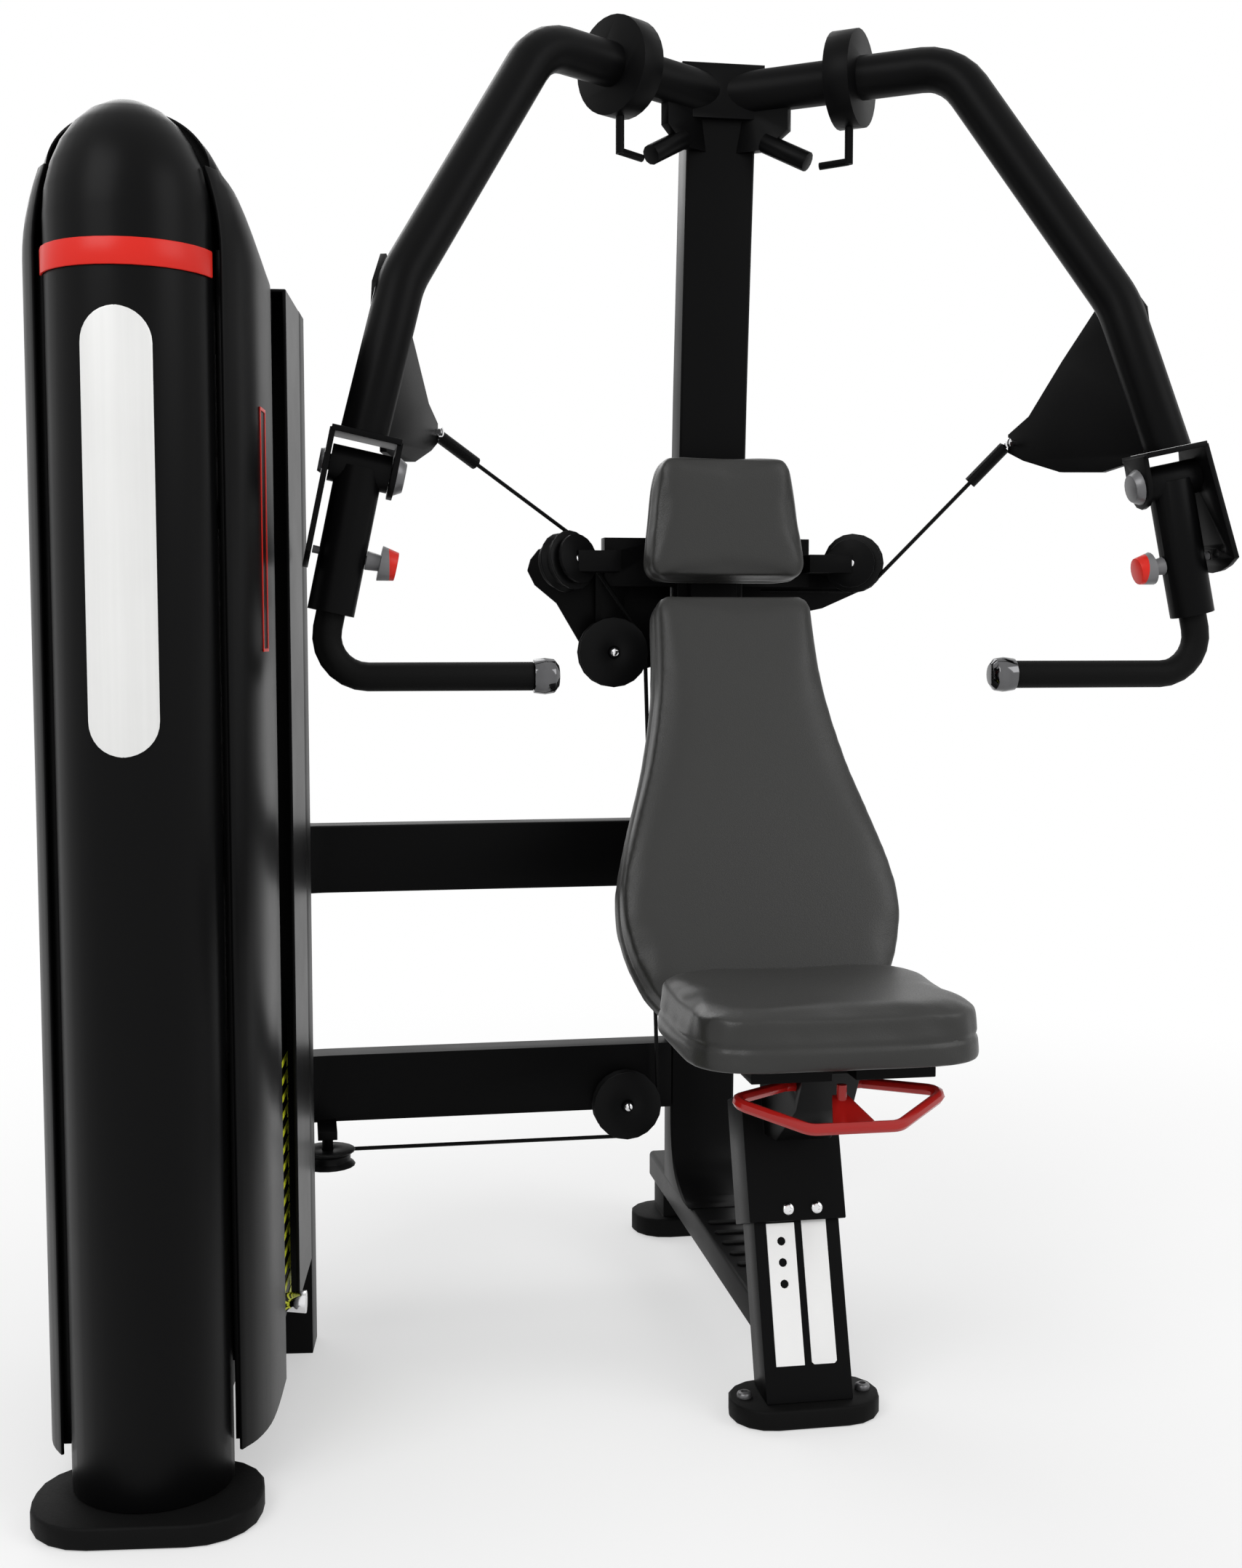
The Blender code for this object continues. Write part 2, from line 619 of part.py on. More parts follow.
def build_seat():
    """Seat carriage that slides on the post, seat pad and its lever."""
    axis = empty("seat_slide", POST_FOOT + POST_UP * SLEEVE_START)
    frame = tilted_frame(POST_FOOT, POST_UP, POST_FRONT)
    top = SLEEVE_START + SLEEVE_LENGTH
    wide = POST_WIDTH / 2 + GAP + SLEEVE_WALL
    deep = POST_DEPTH / 2 + STRIP_THICK + 2 * GAP + SLEEVE_WALL
    sleeve = box("seat_carriage", (-wide, SLEEVE_START, -deep), (wide, top, deep), frame)
    under = SEAT_TOP_Z - SEAT_THICK - GAP
    deck = box("deck", (-0.110, SEAT_MIDDLE_Y - 0.130, under - 0.012), (0.110, SEAT_MIDDLE_Y + 0.130, under))
    web = plate("web", [(-0.120, under - 0.006), (-0.080, WEB_NOSE_Z), (0.010, WEB_KNEE_Z),
                        (0.120, 0.330), (0.095, under - 0.006)], 0.070, side_frame())
    sleeve = join(sleeve, deck, web)
    room = box("room", (-wide + SLEEVE_WALL, -0.1, -deep + SLEEVE_WALL),
               (wide - SLEEVE_WALL, POST_LENGTH + SEAT_TRAVEL + RUN, deep - SLEEVE_WALL), frame)
    sleeve = cut(sleeve, room)
    ends = Vector((0.2, 0.0, 0.0))
    hinge = LEVER_HINGE
    sleeve = cut(sleeve, rod("bar_room", hinge - ends, hinge + ends, LEVER_BAR_RADIUS + GAP, 16))
    link_room = box("link_room", (-0.014, SEAT_MIDDLE_Y - 0.150, under - 0.030),
                    (0.014, LINK_FOOT.y + 0.022, under + 0.010))
    sleeve = cut(sleeve, link_room)
    link(finish(sleeve, BLACK_STEEL), axis)

    pad = plate("seat_pad", stadium(SEAT_WIDTH, SEAT_DEPTH, SEAT_CORNER, 5), SEAT_THICK,
                Matrix.Translation((0, SEAT_MIDDLE_Y, SEAT_TOP_Z - SEAT_THICK / 2)))
    link(finish(smooth(soften(pad, 0.020)), CHARCOAL_VINYL), axis)

    lever_axis = empty("seat_lever_axis", hinge)
    lever_axis.parent = axis
    lever_axis.matrix_parent_inverse = axis.matrix_world.inverted()
    bpy.context.view_layer.update()
    across = Vector((1.0, 0.0, 0.0))
    half = [hinge + across * LEVER_BAR_HALF, LEVER_TIP + across * LEVER_HALF_WIDTH,
            LEVER_FRONT + across * LEVER_FRONT_HALF]
    run = half + [mirrored(point, -1) for point in reversed(half)]
    run = rounded_route(run, [0.018, 0.022, 0.022, 0.018], 4)
    lever = to_mesh(tube("seat_lever", run, LEVER_RADIUS, 2))
    reach = across * LEVER_BAR_HALF * 1.12
    bar = rod("bar", hinge - reach, hinge + reach, LEVER_BAR_RADIUS, 12)
    forward = (LEVER_FRONT - LEVER_TIP).normalized()
    flat = Matrix((across, forward, across.cross(forward))).transposed().to_4x4()
    flat.translation = LEVER_FRONT
    taper = [(-0.028, 0.006), (0.028, 0.006), (0.009, -0.066), (-0.009, -0.066)]
    tongue = plate("tongue", taper, 0.006, flat)
    pull_link = rod("pull_link", LINK_FOOT, LINK_FOOT + Vector((0.0, 0.0, LINK_RISE)), LINK_RADIUS, 12)
    link(finish(smooth(join(lever, bar, tongue, pull_link)), RED_PAINT), lever_axis)


def pad_outline(rows):
    """Closed outline from (height, half width) rows, left side mirrored."""
    right = [(half, height) for height, half in rows]
    return right + [(-half, height) for half, height in reversed(right)]


def build_pads():
    """Back pad, head pad and the bracket that holds both on the mast."""
    top, full = BACK_TOP_WIDTH / 2, BACK_FULL_WIDTH / 2
    rows = [Vector((-BACK_LENGTH, full * 0.62)), Vector((-BACK_LENGTH * 0.93, full * 0.84)),
            Vector((-BACK_LENGTH * 0.77, full)), Vector((-BACK_LENGTH * 0.62, full * 0.94)),
            Vector((-BACK_LENGTH * 0.42, top * 1.24)), Vector((-BACK_LENGTH * 0.22, top * 1.04)),
            Vector((-0.022, top)), Vector((0.0, top * 0.86))]
    frame = tilted_frame(BACK_TOP - BACK_FRONT * BACK_THICK / 2, BACK_UP, BACK_FRONT)
    pad = plate("back_pad", pad_outline(smooth_route(rows, 2)), BACK_THICK, frame)
    link(finish(smooth(soften(pad, 0.018)), CHARCOAL_VINYL))

    low, high = HEAD_BOTTOM_WIDTH / 2, HEAD_TOP_WIDTH / 2
    rows = [Vector((0.0, low * 0.86)), Vector((0.02, low)), Vector((HEAD_LENGTH * 0.5, (low + high) / 2)),
            Vector((HEAD_LENGTH - 0.02, high)), Vector((HEAD_LENGTH, high * 0.84))]
    frame = tilted_frame(HEAD_BOTTOM - HEAD_FRONT * HEAD_THICK / 2, HEAD_UP, HEAD_FRONT)
    pad = plate("head_pad", pad_outline(smooth_route(rows, 2)), HEAD_THICK, frame)
    link(finish(smooth(soften(pad, 0.018)), CHARCOAL_VINYL))

    frame = tilted_frame(BACK_TOP - BACK_FRONT * (BACK_THICK + GAP), BACK_UP, BACK_FRONT)
    bracket = box("pad_bracket", (-0.07, -BACK_LENGTH + 0.06, -PAD_PLATE_THICK), (0.07, -0.03, 0), frame)
    frame = tilted_frame(HEAD_BOTTOM - HEAD_FRONT * (HEAD_THICK + GAP), HEAD_UP, HEAD_FRONT)
    head = box("head_plate", (-0.06, 0.01, -PAD_PLATE_THICK), (0.06, HEAD_LENGTH - 0.02, 0), frame)
    far = MAST_FRONT_EDGE[4][0] + 0.02
    struts = [box("spine", (-0.035, MAST_FRONT_EDGE[2][0] - 0.010, 0.930), (0.035, far, 1.150))]
    for z, tilt, top_y, top_z, thick in (
            (1.100, HEAD_TILT, HEAD_BOTTOM.y, HEAD_BOTTOM.z, HEAD_THICK),
            (0.955, BACK_TILT, BACK_TOP.y, BACK_TOP.z, BACK_THICK),
            (0.600, BACK_TILT, BACK_TOP.y, BACK_TOP.z, BACK_THICK)):
        start = top_y + thick / math.cos(tilt) + (z + 0.025 - top_z) * math.tan(tilt) + 0.003
        struts.append(box("strut", (-0.035, start, z - 0.025), (0.035, far, z + 0.025)))
    bracket = join(bracket, *struts, head)
    link(finish(cut(bracket, mast_solid("mast_room", GAP)), BLACK_STEEL))


def build_yoke():
    """Fixed head of the mast: cap block, two pivot tubes with their shafts, and the arm stops."""
    cap = box("pivot_yoke", (-0.060, YOKE_CENTRE.y - 0.040, YOKE_CENTRE.z - 0.040),
              (0.060, YOKE_CENTRE.y + 0.055, YOKE_CENTRE.z + 0.036))
    down = Vector((0, 0, -1))
    for side in (1, -1):
        out = yoke_axis(side)
        arm = rod("pivot_tube", YOKE_CENTRE - out * 0.01, YOKE_CENTRE + out * YOKE_REACH, TUBE_RADIUS, 24)
        shaft = rod("shaft", YOKE_CENTRE + out * 0.02, YOKE_CENTRE + out * (YOKE_REACH + RUN + DISC_THICK + 0.006),
                    SHAFT_RADIUS, 16)
        web_frame = Matrix((out, down, out.cross(down))).transposed().to_4x4()
        web_frame.translation = YOKE_CENTRE
        web = plate("web", [(0.03, 0.0), (STOP_WEB_REACH, 0.0), (STOP_WEB_REACH, STOP_DROP * 0.7),
                            (0.075, STOP_DROP), (0.03, STOP_DROP)], 0.014, web_frame)
        low = YOKE_CENTRE + out * 0.072 + down * (STOP_DROP - 0.012)
        stop = rod("stop", low, YOKE_CENTRE + out * STOP_TIP + down * (STOP_DROP + 0.022), 0.014, 12)
        cap = join(cap, arm, shaft, web, stop)
    cap = cut(cap, mast_solid("mast_room", GAP))
    link(finish(smooth(cap), BLACK_STEEL))


def arm_route():
    """Centre line of the right arm, from its disc to its fork."""
    out = yoke_axis(1)
    start = YOKE_CENTRE + out * (YOKE_REACH + RUN + DISC_THICK * 0.75)
    corner = YOKE_CENTRE + out * (YOKE_REACH + ARM_BEND_OUT)
    tuck = ARM_END + (ARM_END - ARM_KNEE).normalized() * ARM_TUCK
    return rounded_route([start, corner, ARM_KNEE, tuck], [ARM_TOP_RADIUS, ARM_KNEE_RADIUS], 5)


def arm_tube(name, grow=0.0):
    """The right arm's bent tube, or a grown copy of it for what meets it."""
    return to_mesh(tube(name, arm_route(), TUBE_RADIUS + grow, 6))


def gusset_frame():
    """Plane of the right gusset: x back towards its lug, y up."""
    back = Vector((-0.355, 0.935, 0.0)).normalized()
    up = Vector((0.0, 0.0, 1.0))
    out = back.cross(up)
    return Matrix((
        (back.x, up.x, out.x, ARM_END.x),
        (back.y, up.y, out.y, ARM_END.y),
        (back.z, up.z, out.z, ARM_END.z),
        (0.0, 0.0, 0.0, 1.0)))


def lug_place():
    """Where the right cable's ferrule starts, just behind the gusset's lug."""
    return gusset_frame() @ Vector((GUSSET_REACH + 0.019, 0.022, 0.0))


def fork_frame():
    """Frame of the right handle pivot: x outwards along its pin, y the machine's Y, z up."""
    return Matrix.Translation(FORK_PIVOT) @ Matrix.Rotation(-FORK_RISE, 4, "Y")


def build_fork(frame):
    """Saddle with an inner lug and an outer sector plate, bored for the pin and the plunger."""
    half = FORK_WIDTH / 2
    width = half + FORK_PLATE * 0.7
    fork = box("fork", (-width, -FORK_HALF_DEPTH * 1.04, FORK_TOP - FORK_PLATE),
               (width, FORK_HALF_DEPTH * 1.04, FORK_TOP))
    high = FORK_TOP - FORK_PLATE / 2
    lug = [(-LUG_RADIUS, high), (LUG_RADIUS, high)]
    for turn in range(0, -181, -30):
        angle = math.radians(turn)
        lug.append((LUG_RADIUS * math.cos(angle), LUG_RADIUS * math.sin(angle)))
    sector = [(-FORK_HALF_DEPTH, high), (FORK_HALF_DEPTH, high)]
    for turn in range(SECTOR_SPREAD, -SECTOR_SPREAD - 1, -10):
        angle = math.radians(turn)
        sector.append((SECTOR_RADIUS * math.sin(angle), -SECTOR_RADIUS * math.cos(angle)))
    cheek = half + FORK_PLATE / 2
    fork = join(fork, plate("lug", lug, FORK_PLATE, side_frame(-cheek)),
                plate("sector", sector, FORK_PLATE, side_frame(cheek)))
    fork = cut(fork, rod("pin_room", (-0.1, 0, 0), (0.1, 0, 0), PIN_RADIUS + GAP, 16))
    for turn in (-22, -11, 0, 11, 22):
        angle = math.radians(turn)
        y, z = KNOB_REACH * math.sin(angle), -KNOB_REACH * math.cos(angle)
        fork = cut(fork, rod("index_hole", (0.02, y, z), (0.1, y, z), SECTOR_HOLE_RADIUS, 8))
    fork.data.transform(frame)
    return fork


def fork_room(frame):
    """The space at and under the fork's top plate, which the arm and the gusset stay out of."""
    return box("fork_room", (-0.08, -0.06, -0.1), (0.08, 0.06, FORK_TOP + GAP), frame)


def build_right_arm():
    """Pieces of the right arm by name: (solid, finish, joint empty they hang on)."""
    out = yoke_axis(1)
    frame = fork_frame()
    face = YOKE_CENTRE + out * (YOKE_REACH + RUN)
    disc = rod("disc", face, face + out * DISC_THICK, DISC_RADIUS, 32)
    down = Vector((0.0, 0.0, -1.0))
    root = face + out * (DISC_THICK / 2) + down * (DISC_RADIUS - 0.010)
    bend = face + out * (DISC_THICK / 2) + down * FINGER_DROP
    finger = rod("finger", root, bend + down * FINGER_RADIUS * 0.6, FINGER_RADIUS, 10)
    rest = YOKE_CENTRE + out * (STOP_TIP + 0.018) + down * (STOP_DROP + 0.030)
    toe = rod("toe", bend, rest, FINGER_RADIUS * 0.9, 10)
    arm = cut(join(arm_tube("arm"), disc, finger, toe), fork_room(frame))
    arm = cut(arm, rod("bore", YOKE_CENTRE, face + out * (DISC_THICK + 0.010), SHAFT_RADIUS + RUN, 16))
    outline = [(0.015, -0.004), (0.05, -0.022), (0.11, -0.032), (0.19, -0.026), (GUSSET_REACH - 0.02, -0.004),
               (GUSSET_REACH + 0.012, 0.010), (GUSSET_REACH + 0.012, 0.036), (GUSSET_REACH - 0.03, 0.058),
               (0.19, 0.128), (0.125, GUSSET_TOP - 0.030), (0.075, GUSSET_TOP), (0.040, GUSSET_TOP - 0.040),
               (0.030, 0.130)]
    gusset = plate("gusset", outline, GUSSET_THICK, gusset_frame())
    slot = [(0.036, 0.105), (0.050, 0.112), (0.060, 0.145), (0.062, 0.172), (0.055, 0.196),
            (0.048, 0.186), (0.042, 0.150)]
    gusset = cut(gusset, plate("slot", slot, GUSSET_THICK * 3, gusset_frame()))
    gusset = cut(cut(gusset, arm_tube("arm_room", GAP)), fork_room(frame))

    half = FORK_WIDTH / 2
    end = half + FORK_PLATE + GAP
    pin = rod("fork_pin", (-end - 0.002, 0, 0), (end + 0.002, 0, 0), PIN_RADIUS, 16)
    pin = join(pin, rod("cap_in", (-end - PIN_CAP_THICK, 0, 0), (-end, 0, 0), 0.018, 20, PIN_CAP_RADIUS),
               rod("cap_out", (end, 0, 0), (end + PIN_CAP_THICK / 2, 0, 0), 0.016, 20, 0.014))
    pin.data.transform(frame)

    sleeve = rod("handle_sleeve", (-half + RUN, 0, 0), (half - RUN, 0, 0), BUSH_RADIUS, 20)
    sleeve = join(sleeve, rod("neck", (0, 0, 0), (0, 0, -SLEEVE_TUBE_LENGTH), SLEEVE_TUBE_RADIUS, 24))
    sleeve = cut(sleeve, rod("pin_room", (-0.1, 0, 0), (0.1, 0, 0), PIN_RADIUS + GAP, 16))
    socket = SLEEVE_TUBE_LENGTH - HANDLE_SOCKET
    sleeve = cut(sleeve, rod("handle_room", (0, 0, -SLEEVE_TUBE_LENGTH - 0.02), (0, 0, -socket + GAP),
                             HANDLE_RADIUS + GAP, 16))
    sleeve = cut(sleeve, rod("plunger_room", (-0.1, 0, -KNOB_REACH), (0.1, 0, -KNOB_REACH),
                             SELECTOR_RADIUS + GAP, 10))
    sleeve.data.transform(frame)

    start = frame @ Vector((0, 0, -socket))
    knee = frame @ Vector((0, 0, -SLEEVE_TUBE_LENGTH - 0.012))
    drop = (knee - start) * ((HANDLE_Z - start.z) / (knee.z - start.z))
    corner = start + drop
    tip = Vector((HANDLE_INNER_X, corner.y, HANDLE_Z))
    route = rounded_route([start, corner, tip], [HANDLE_BEND_RADIUS], 7)
    handle = to_mesh(tube("handle", route, HANDLE_RADIUS, 6))
    profile = [(0.0, CAP_LENGTH), (CAP_RADIUS * 0.6, CAP_LENGTH), (CAP_RADIUS * 0.92, CAP_LENGTH * 0.82),
               (CAP_RADIUS, CAP_LENGTH * 0.45), (CAP_RADIUS * 0.92, 0.0), (0.0, 0.0)]
    inward = Vector((-1.0, 0.0, 0.0))
    place = Matrix.Translation(tip + inward * GAP) @ inward.to_track_quat("Z", "Y").to_matrix().to_4x4()
    cap = turned("handle_cap", profile, place, 20)

    neck = SLEEVE_TUBE_RADIUS + GAP
    z = -KNOB_REACH
    knob = rod("pull_knob", (-neck - 0.012, 0, z), (half - RUN, 0, z), SELECTOR_RADIUS, 10)
    knob = join(knob, rod("collar", (-neck - 0.018, 0, z), (-neck, 0, z), 0.010, 16, 0.012),
                rod("head", (-neck - 0.038, 0, z), (-neck - 0.017, 0, z), KNOB_RADIUS * 0.8, 20, KNOB_RADIUS))
    knob.data.transform(frame)
    return (("arm", arm, BLACK_STEEL, "arm_axis"), ("gusset", gusset, BLACK_STEEL, "arm_axis"),
            ("fork", build_fork(frame), BLACK_STEEL, "arm_axis"), ("fork_pin", pin, GREY_STEEL, "arm_axis"),
            ("handle_sleeve", sleeve, BLACK_STEEL, "handle_axis"), ("handle", handle, RUBBER, "handle_axis"),
            ("handle_cap", cap, CHROME, "handle_axis"), ("pull_knob", knob, RED_PAINT, "handle_axis"))


def mirror_copy(obj, name):
    """The left twin of a right-hand solid."""
    bm = bmesh.new()
    bm.from_mesh(obj.data)
    bmesh.ops.transform(bm, matrix=Matrix.Diagonal((-1, 1, 1, 1)), verts=bm.verts)
    bmesh.ops.reverse_faces(bm, faces=bm.faces)
    mesh = bpy.data.meshes.new(name)
    bm.to_mesh(mesh)
    bm.free()
    return bpy.data.objects.new(name, mesh)


def build_arms():
    """Both arms: the right one, and its mirrored twin."""
    axes = {}
    for side in (1, -1):
        shoulder = empty(named(side, "arm_axis"), YOKE_CENTRE + yoke_axis(side) * YOKE_REACH)
        elbow = empty(named(side, "handle_axis"), mirrored(FORK_PIVOT, side))
        elbow.parent = shoulder
        elbow.matrix_parent_inverse = shoulder.matrix_world.inverted()
        bpy.context.view_layer.update()
        axes[side] = {"arm_axis": shoulder, "handle_axis": elbow}
    for piece, solid, look, axis in build_right_arm():
        left = mirror_copy(solid, named(-1, piece))
        right = bpy.data.objects.new(named(1, piece), solid.data)
        for side, obj in ((1, right), (-1, left)):
            link(finish(smooth(obj), look), axes[side][axis])


def tangent(centre, normal, radius, point, sense):
    """Where a line from a point touches a circle about a normal, on the side given by sense."""
    away = Vector(point) - centre
    away -= normal * away.dot(normal)
    turn = math.acos(radius / away.length)
    ahead = away.normalized()
    return centre + radius * (math.cos(turn) * ahead + sense * math.sin(turn) * normal.cross(ahead))


def arc(centre, start, end, normal, sense, steps=6):
    """Points on a circle from one point to another, turning about the normal by sense."""
    first, last = start - centre, end - centre
    angle = math.atan2(normal.dot(first.cross(last)), first.dot(last))
    if sense > 0 and angle < 0:
        angle += 2 * math.pi
    if sense < 0 and angle > 0:
        angle -= 2 * math.pi
    return [centre + Matrix.Rotation(angle * k / steps, 3, normal) @ first for k in range(steps + 1)]


def common_tangent(first, first_radius, second, second_radius, normal, first_sense, second_sense):
    """The straight run between two pulleys in one plane."""
    start, end = first.copy(), second.copy()
    for _ in range(40):
        start = tangent(first, normal, first_radius, end, -first_sense)
        end = tangent(second, normal, second_radius, start, second_sense)
    return start, end


def side_pulley_goal(side):
    """Point that a cable makes for when it leaves its side pulley."""
    if side > 0:
        return CROSSING
    return COLUMN_PULLEY + Vector((-0.01, 0.0, groove_route_radius(PULLEY_RADIUS)))


def side_pulley_normal(side):
    """Axle direction of a side pulley: square to the cable that comes in and the one that leaves."""
    centre = mirrored(SIDE_PULLEY, side)
    lug = mirrored(lug_place(), side)
    return (lug - centre).cross(side_pulley_goal(side) - centre).normalized()


def side_pulley_leave(side):
    """Where a cable leaves its side pulley."""
    centre, radius = mirrored(SIDE_PULLEY, side), groove_route_radius(SIDE_PULLEY_RADIUS)
    return tangent(centre, side_pulley_normal(side), radius, side_pulley_goal(side), 1)


def column_pulley_meet():
    """Where the left cable comes onto the column pulley."""
    radius = groove_route_radius(PULLEY_RADIUS)
    return tangent(COLUMN_PULLEY, Vector((0, -1, 0)), radius, side_pulley_leave(-1), -1)


def pulley(name, place, axis, radius=PULLEY_RADIUS):
    """A grooved pulley bored for its axle, turned about the given axis."""
    half = PULLEY_THICK / 2
    groove = radius - GROOVE_DEPTH
    floor, lip, bore = half * 0.36, half * 0.8, AXLE_RADIUS + GAP
    profile = [(bore, half), (radius, half), (radius, lip), (groove, floor), (groove, -floor),
               (radius, -lip), (radius, -half), (bore, -half), (bore, half)]
    turn = Vector(axis).to_track_quat("Z", "Y").to_matrix().to_4x4()
    return finish(smooth(turned(name, profile, Matrix.Translation(place) @ turn, 20)), NYLON)


def build_side_pulleys():
    """Side pulleys in their housings, the column pulley, and the arm cables up to them."""
    for side in (1, -1):
        centre = mirrored(SIDE_PULLEY, side)
        normal = side_pulley_normal(side)
        link(pulley(named(side, "side_pulley"), centre, normal, SIDE_PULLEY_RADIUS))
        low_x, high_x = sorted((side * (MAST_WIDTH / 2 + GAP), side * (SIDE_PULLEY.x - 0.060)))
        bracket = box(named(side, "pulley_bracket"), (low_x, BRACKET_Y - BRACKET_DEPTH / 2, 1.040),
                      (high_x, BRACKET_Y + BRACKET_DEPTH / 2, 1.112))
        reach = PULLEY_THICK / 2 + 0.010
        for way in (1, -1):
            cheek = centre + normal * way * reach
            bracket = join(bracket, rod("cheek", cheek - normal * 0.003, cheek + normal * 0.003, 0.036, 20))
            low_x, high_x = sorted((side * (SIDE_PULLEY.x - 0.075), cheek.x))
            low_z, high_z = sorted((1.072, cheek.z))
            bracket = join(bracket, box("cheek_arm", (low_x, cheek.y - 0.006, low_z - 0.012),
                                        (high_x, BRACKET_Y + 0.010, high_z + 0.012)))
        bracket = cut(bracket, rod("pulley_room", centre - normal * (PULLEY_THICK / 2 + RUN),
                                   centre + normal * (PULLEY_THICK / 2 + RUN), SIDE_PULLEY_RADIUS + 0.006, 24))
        leave, goal = side_pulley_leave(side), CROSSING if side > 0 else column_pulley_meet()
        bracket = cut(bracket, rod("cable_room", leave + (leave - goal) * 0.2, goal, CABLE_RADIUS + 0.002, 10))
        bracket = join(bracket, rod("axle", centre - normal * reach, centre + normal * reach, AXLE_RADIUS, 16))
        if side < 0:
            spot = COLUMN_PULLEY
            face = spot.y + PULLEY_THICK / 2 + RUN
            rear = BRACKET_Y + 0.006
            bracket = join(bracket, box("drop_plate", (spot.x - 0.022, rear - 0.006, spot.z - 0.025),
                                        (spot.x + 0.022, rear + 0.004, 1.060)),
                           rod("column_axle", (spot.x, rear, spot.z),
                               (spot.x, spot.y - PULLEY_THICK / 2 - 0.006, spot.z), AXLE_RADIUS, 16),
                           rod("column_spacer", (spot.x, rear, spot.z), (spot.x, face, spot.z), 0.015, 16))
        link(finish(bracket, BLACK_STEEL))
    link(pulley("column_pulley", COLUMN_PULLEY, (0, 1, 0)))
    link(pulley("beam_pulley", BEAM_PULLEY, (0, 1, 0)))
    link(pulley("tower_side_pulley", tower_side_pulley_place(), (0, 0, 1), TOWER_SIDE_PULLEY_RADIUS))


def cable_rise():
    """Foot of the strand that climbs the tower behind the stack, and the level way it comes from."""
    rise_s = STACK_S + 2 * groove_route_radius(TOP_PULLEY_RADIUS)
    side = tower_side_pulley_place()
    foot = TOWER_PLACE + TOWER_DEPTH * rise_s
    foot.z = side.z
    leave = tangent(side, Vector((0, 0, 1)), groove_route_radius(TOWER_SIDE_PULLEY_RADIUS), foot, -1)
    return foot, leave


def base_pulley_place():
    """Centre and level direction of the pulley at the foot of the climbing strand."""
    foot, leave = cable_rise()
    way = (leave - foot).normalized()
    radius = groove_route_radius(BASE_PULLEY_RADIUS)
    return foot + way * radius + Vector((0, 0, radius)), way


def build_cables():
    """Cable spans from the arms, the runs behind the bench and into the tower, and the stack cable."""
    level, front = Vector((0, 0, 1)), Vector((0, -1, 0))
    disc, small = groove_route_radius(PULLEY_RADIUS), groove_route_radius(SIDE_PULLEY_RADIUS)
    flat, foot_radius = groove_route_radius(TOWER_SIDE_PULLEY_RADIUS), groove_route_radius(BASE_PULLEY_RADIUS)
    top_radius = groove_route_radius(TOP_PULLEY_RADIUS)
    for side in (1, -1):
        centre, normal = mirrored(SIDE_PULLEY, side), side_pulley_normal(side)
        lug = mirrored(lug_place(), side)
        meet = tangent(centre, normal, small, lug, -1)
        way = (meet - lug).normalized()
        span = to_mesh(tube(named(side, "cable_span"), [lug, meet - way * 3 * GAP], CABLE_RADIUS, 2))
        ferrule = rod("ferrule", lug + way * 0.004, lug + way * FERRULE_LENGTH, FERRULE_RADIUS, 12)
        link(finish(join(span, ferrule), GREY_STEEL))
        if side > 0:
            leave = side_pulley_leave(side)
            end = Vector((-0.110, BRACKET_Y + BRACKET_DEPTH / 2 + CABLE_RADIUS + 2 * GAP, CROSSING.z + 0.012))
            route = arc(centre, meet, leave, normal, -1) + [CROSSING, end]
        else:
            leave, column_in = side_pulley_leave(side), column_pulley_meet()
            column_out, beam_in = common_tangent(COLUMN_PULLEY, disc, BEAM_PULLEY, disc, front, -1, -1)
            place = tower_side_pulley_place()
            flat_in = tangent(place, level, flat, BEAM_PULLEY - level * disc, 1)
            beam_out = tangent(BEAM_PULLEY, front, disc, flat_in, 1)
            foot, flat_out = cable_rise()
            base, way = base_pulley_place()
            top = TOWER_PLACE + TOWER_DEPTH * (STACK_S + top_radius) + level * TOP_PULLEY_Z
            up_in, up_out = top + TOWER_DEPTH * top_radius, top - TOWER_DEPTH * top_radius
            crown = top + level * top_radius
            route = (arc(centre, meet, leave, normal, -1)
                     + arc(COLUMN_PULLEY, column_in, column_out, front, -1)
                     + arc(BEAM_PULLEY, beam_in, beam_out, front, -1)
                     + arc(place, flat_in, flat_out, level, 1)
                     + [base + slerp(-level * foot_radius, -way * foot_radius, k / 5) for k in range(6)]
                     + [top + slerp(up_in - top, crown - top, k / 5) for k in range(6)]
                     + [top + slerp(crown - top, up_out - top, k / 5) for k in range(1, 6)])
        link(finish(to_mesh(tube(named(side, "cable_run"), route, CABLE_RADIUS, 1)), GREY_STEEL))
    stem_top = STACK_BOTTOM_Z + (RESTING_PLATES + LIFTED_PLATES) * PLATE_PITCH + TOP_PLATE_THICK + STEM_RISE
    anchor = TOWER_PLACE + TOWER_DEPTH * STACK_S
    drop = tube("stack_cable", [anchor + level * (TOP_PULLEY_Z - 3 * GAP), anchor + level * (stem_top + GAP)],
                CABLE_RADIUS, 2)
    link(finish(to_mesh(drop), GREY_STEEL))


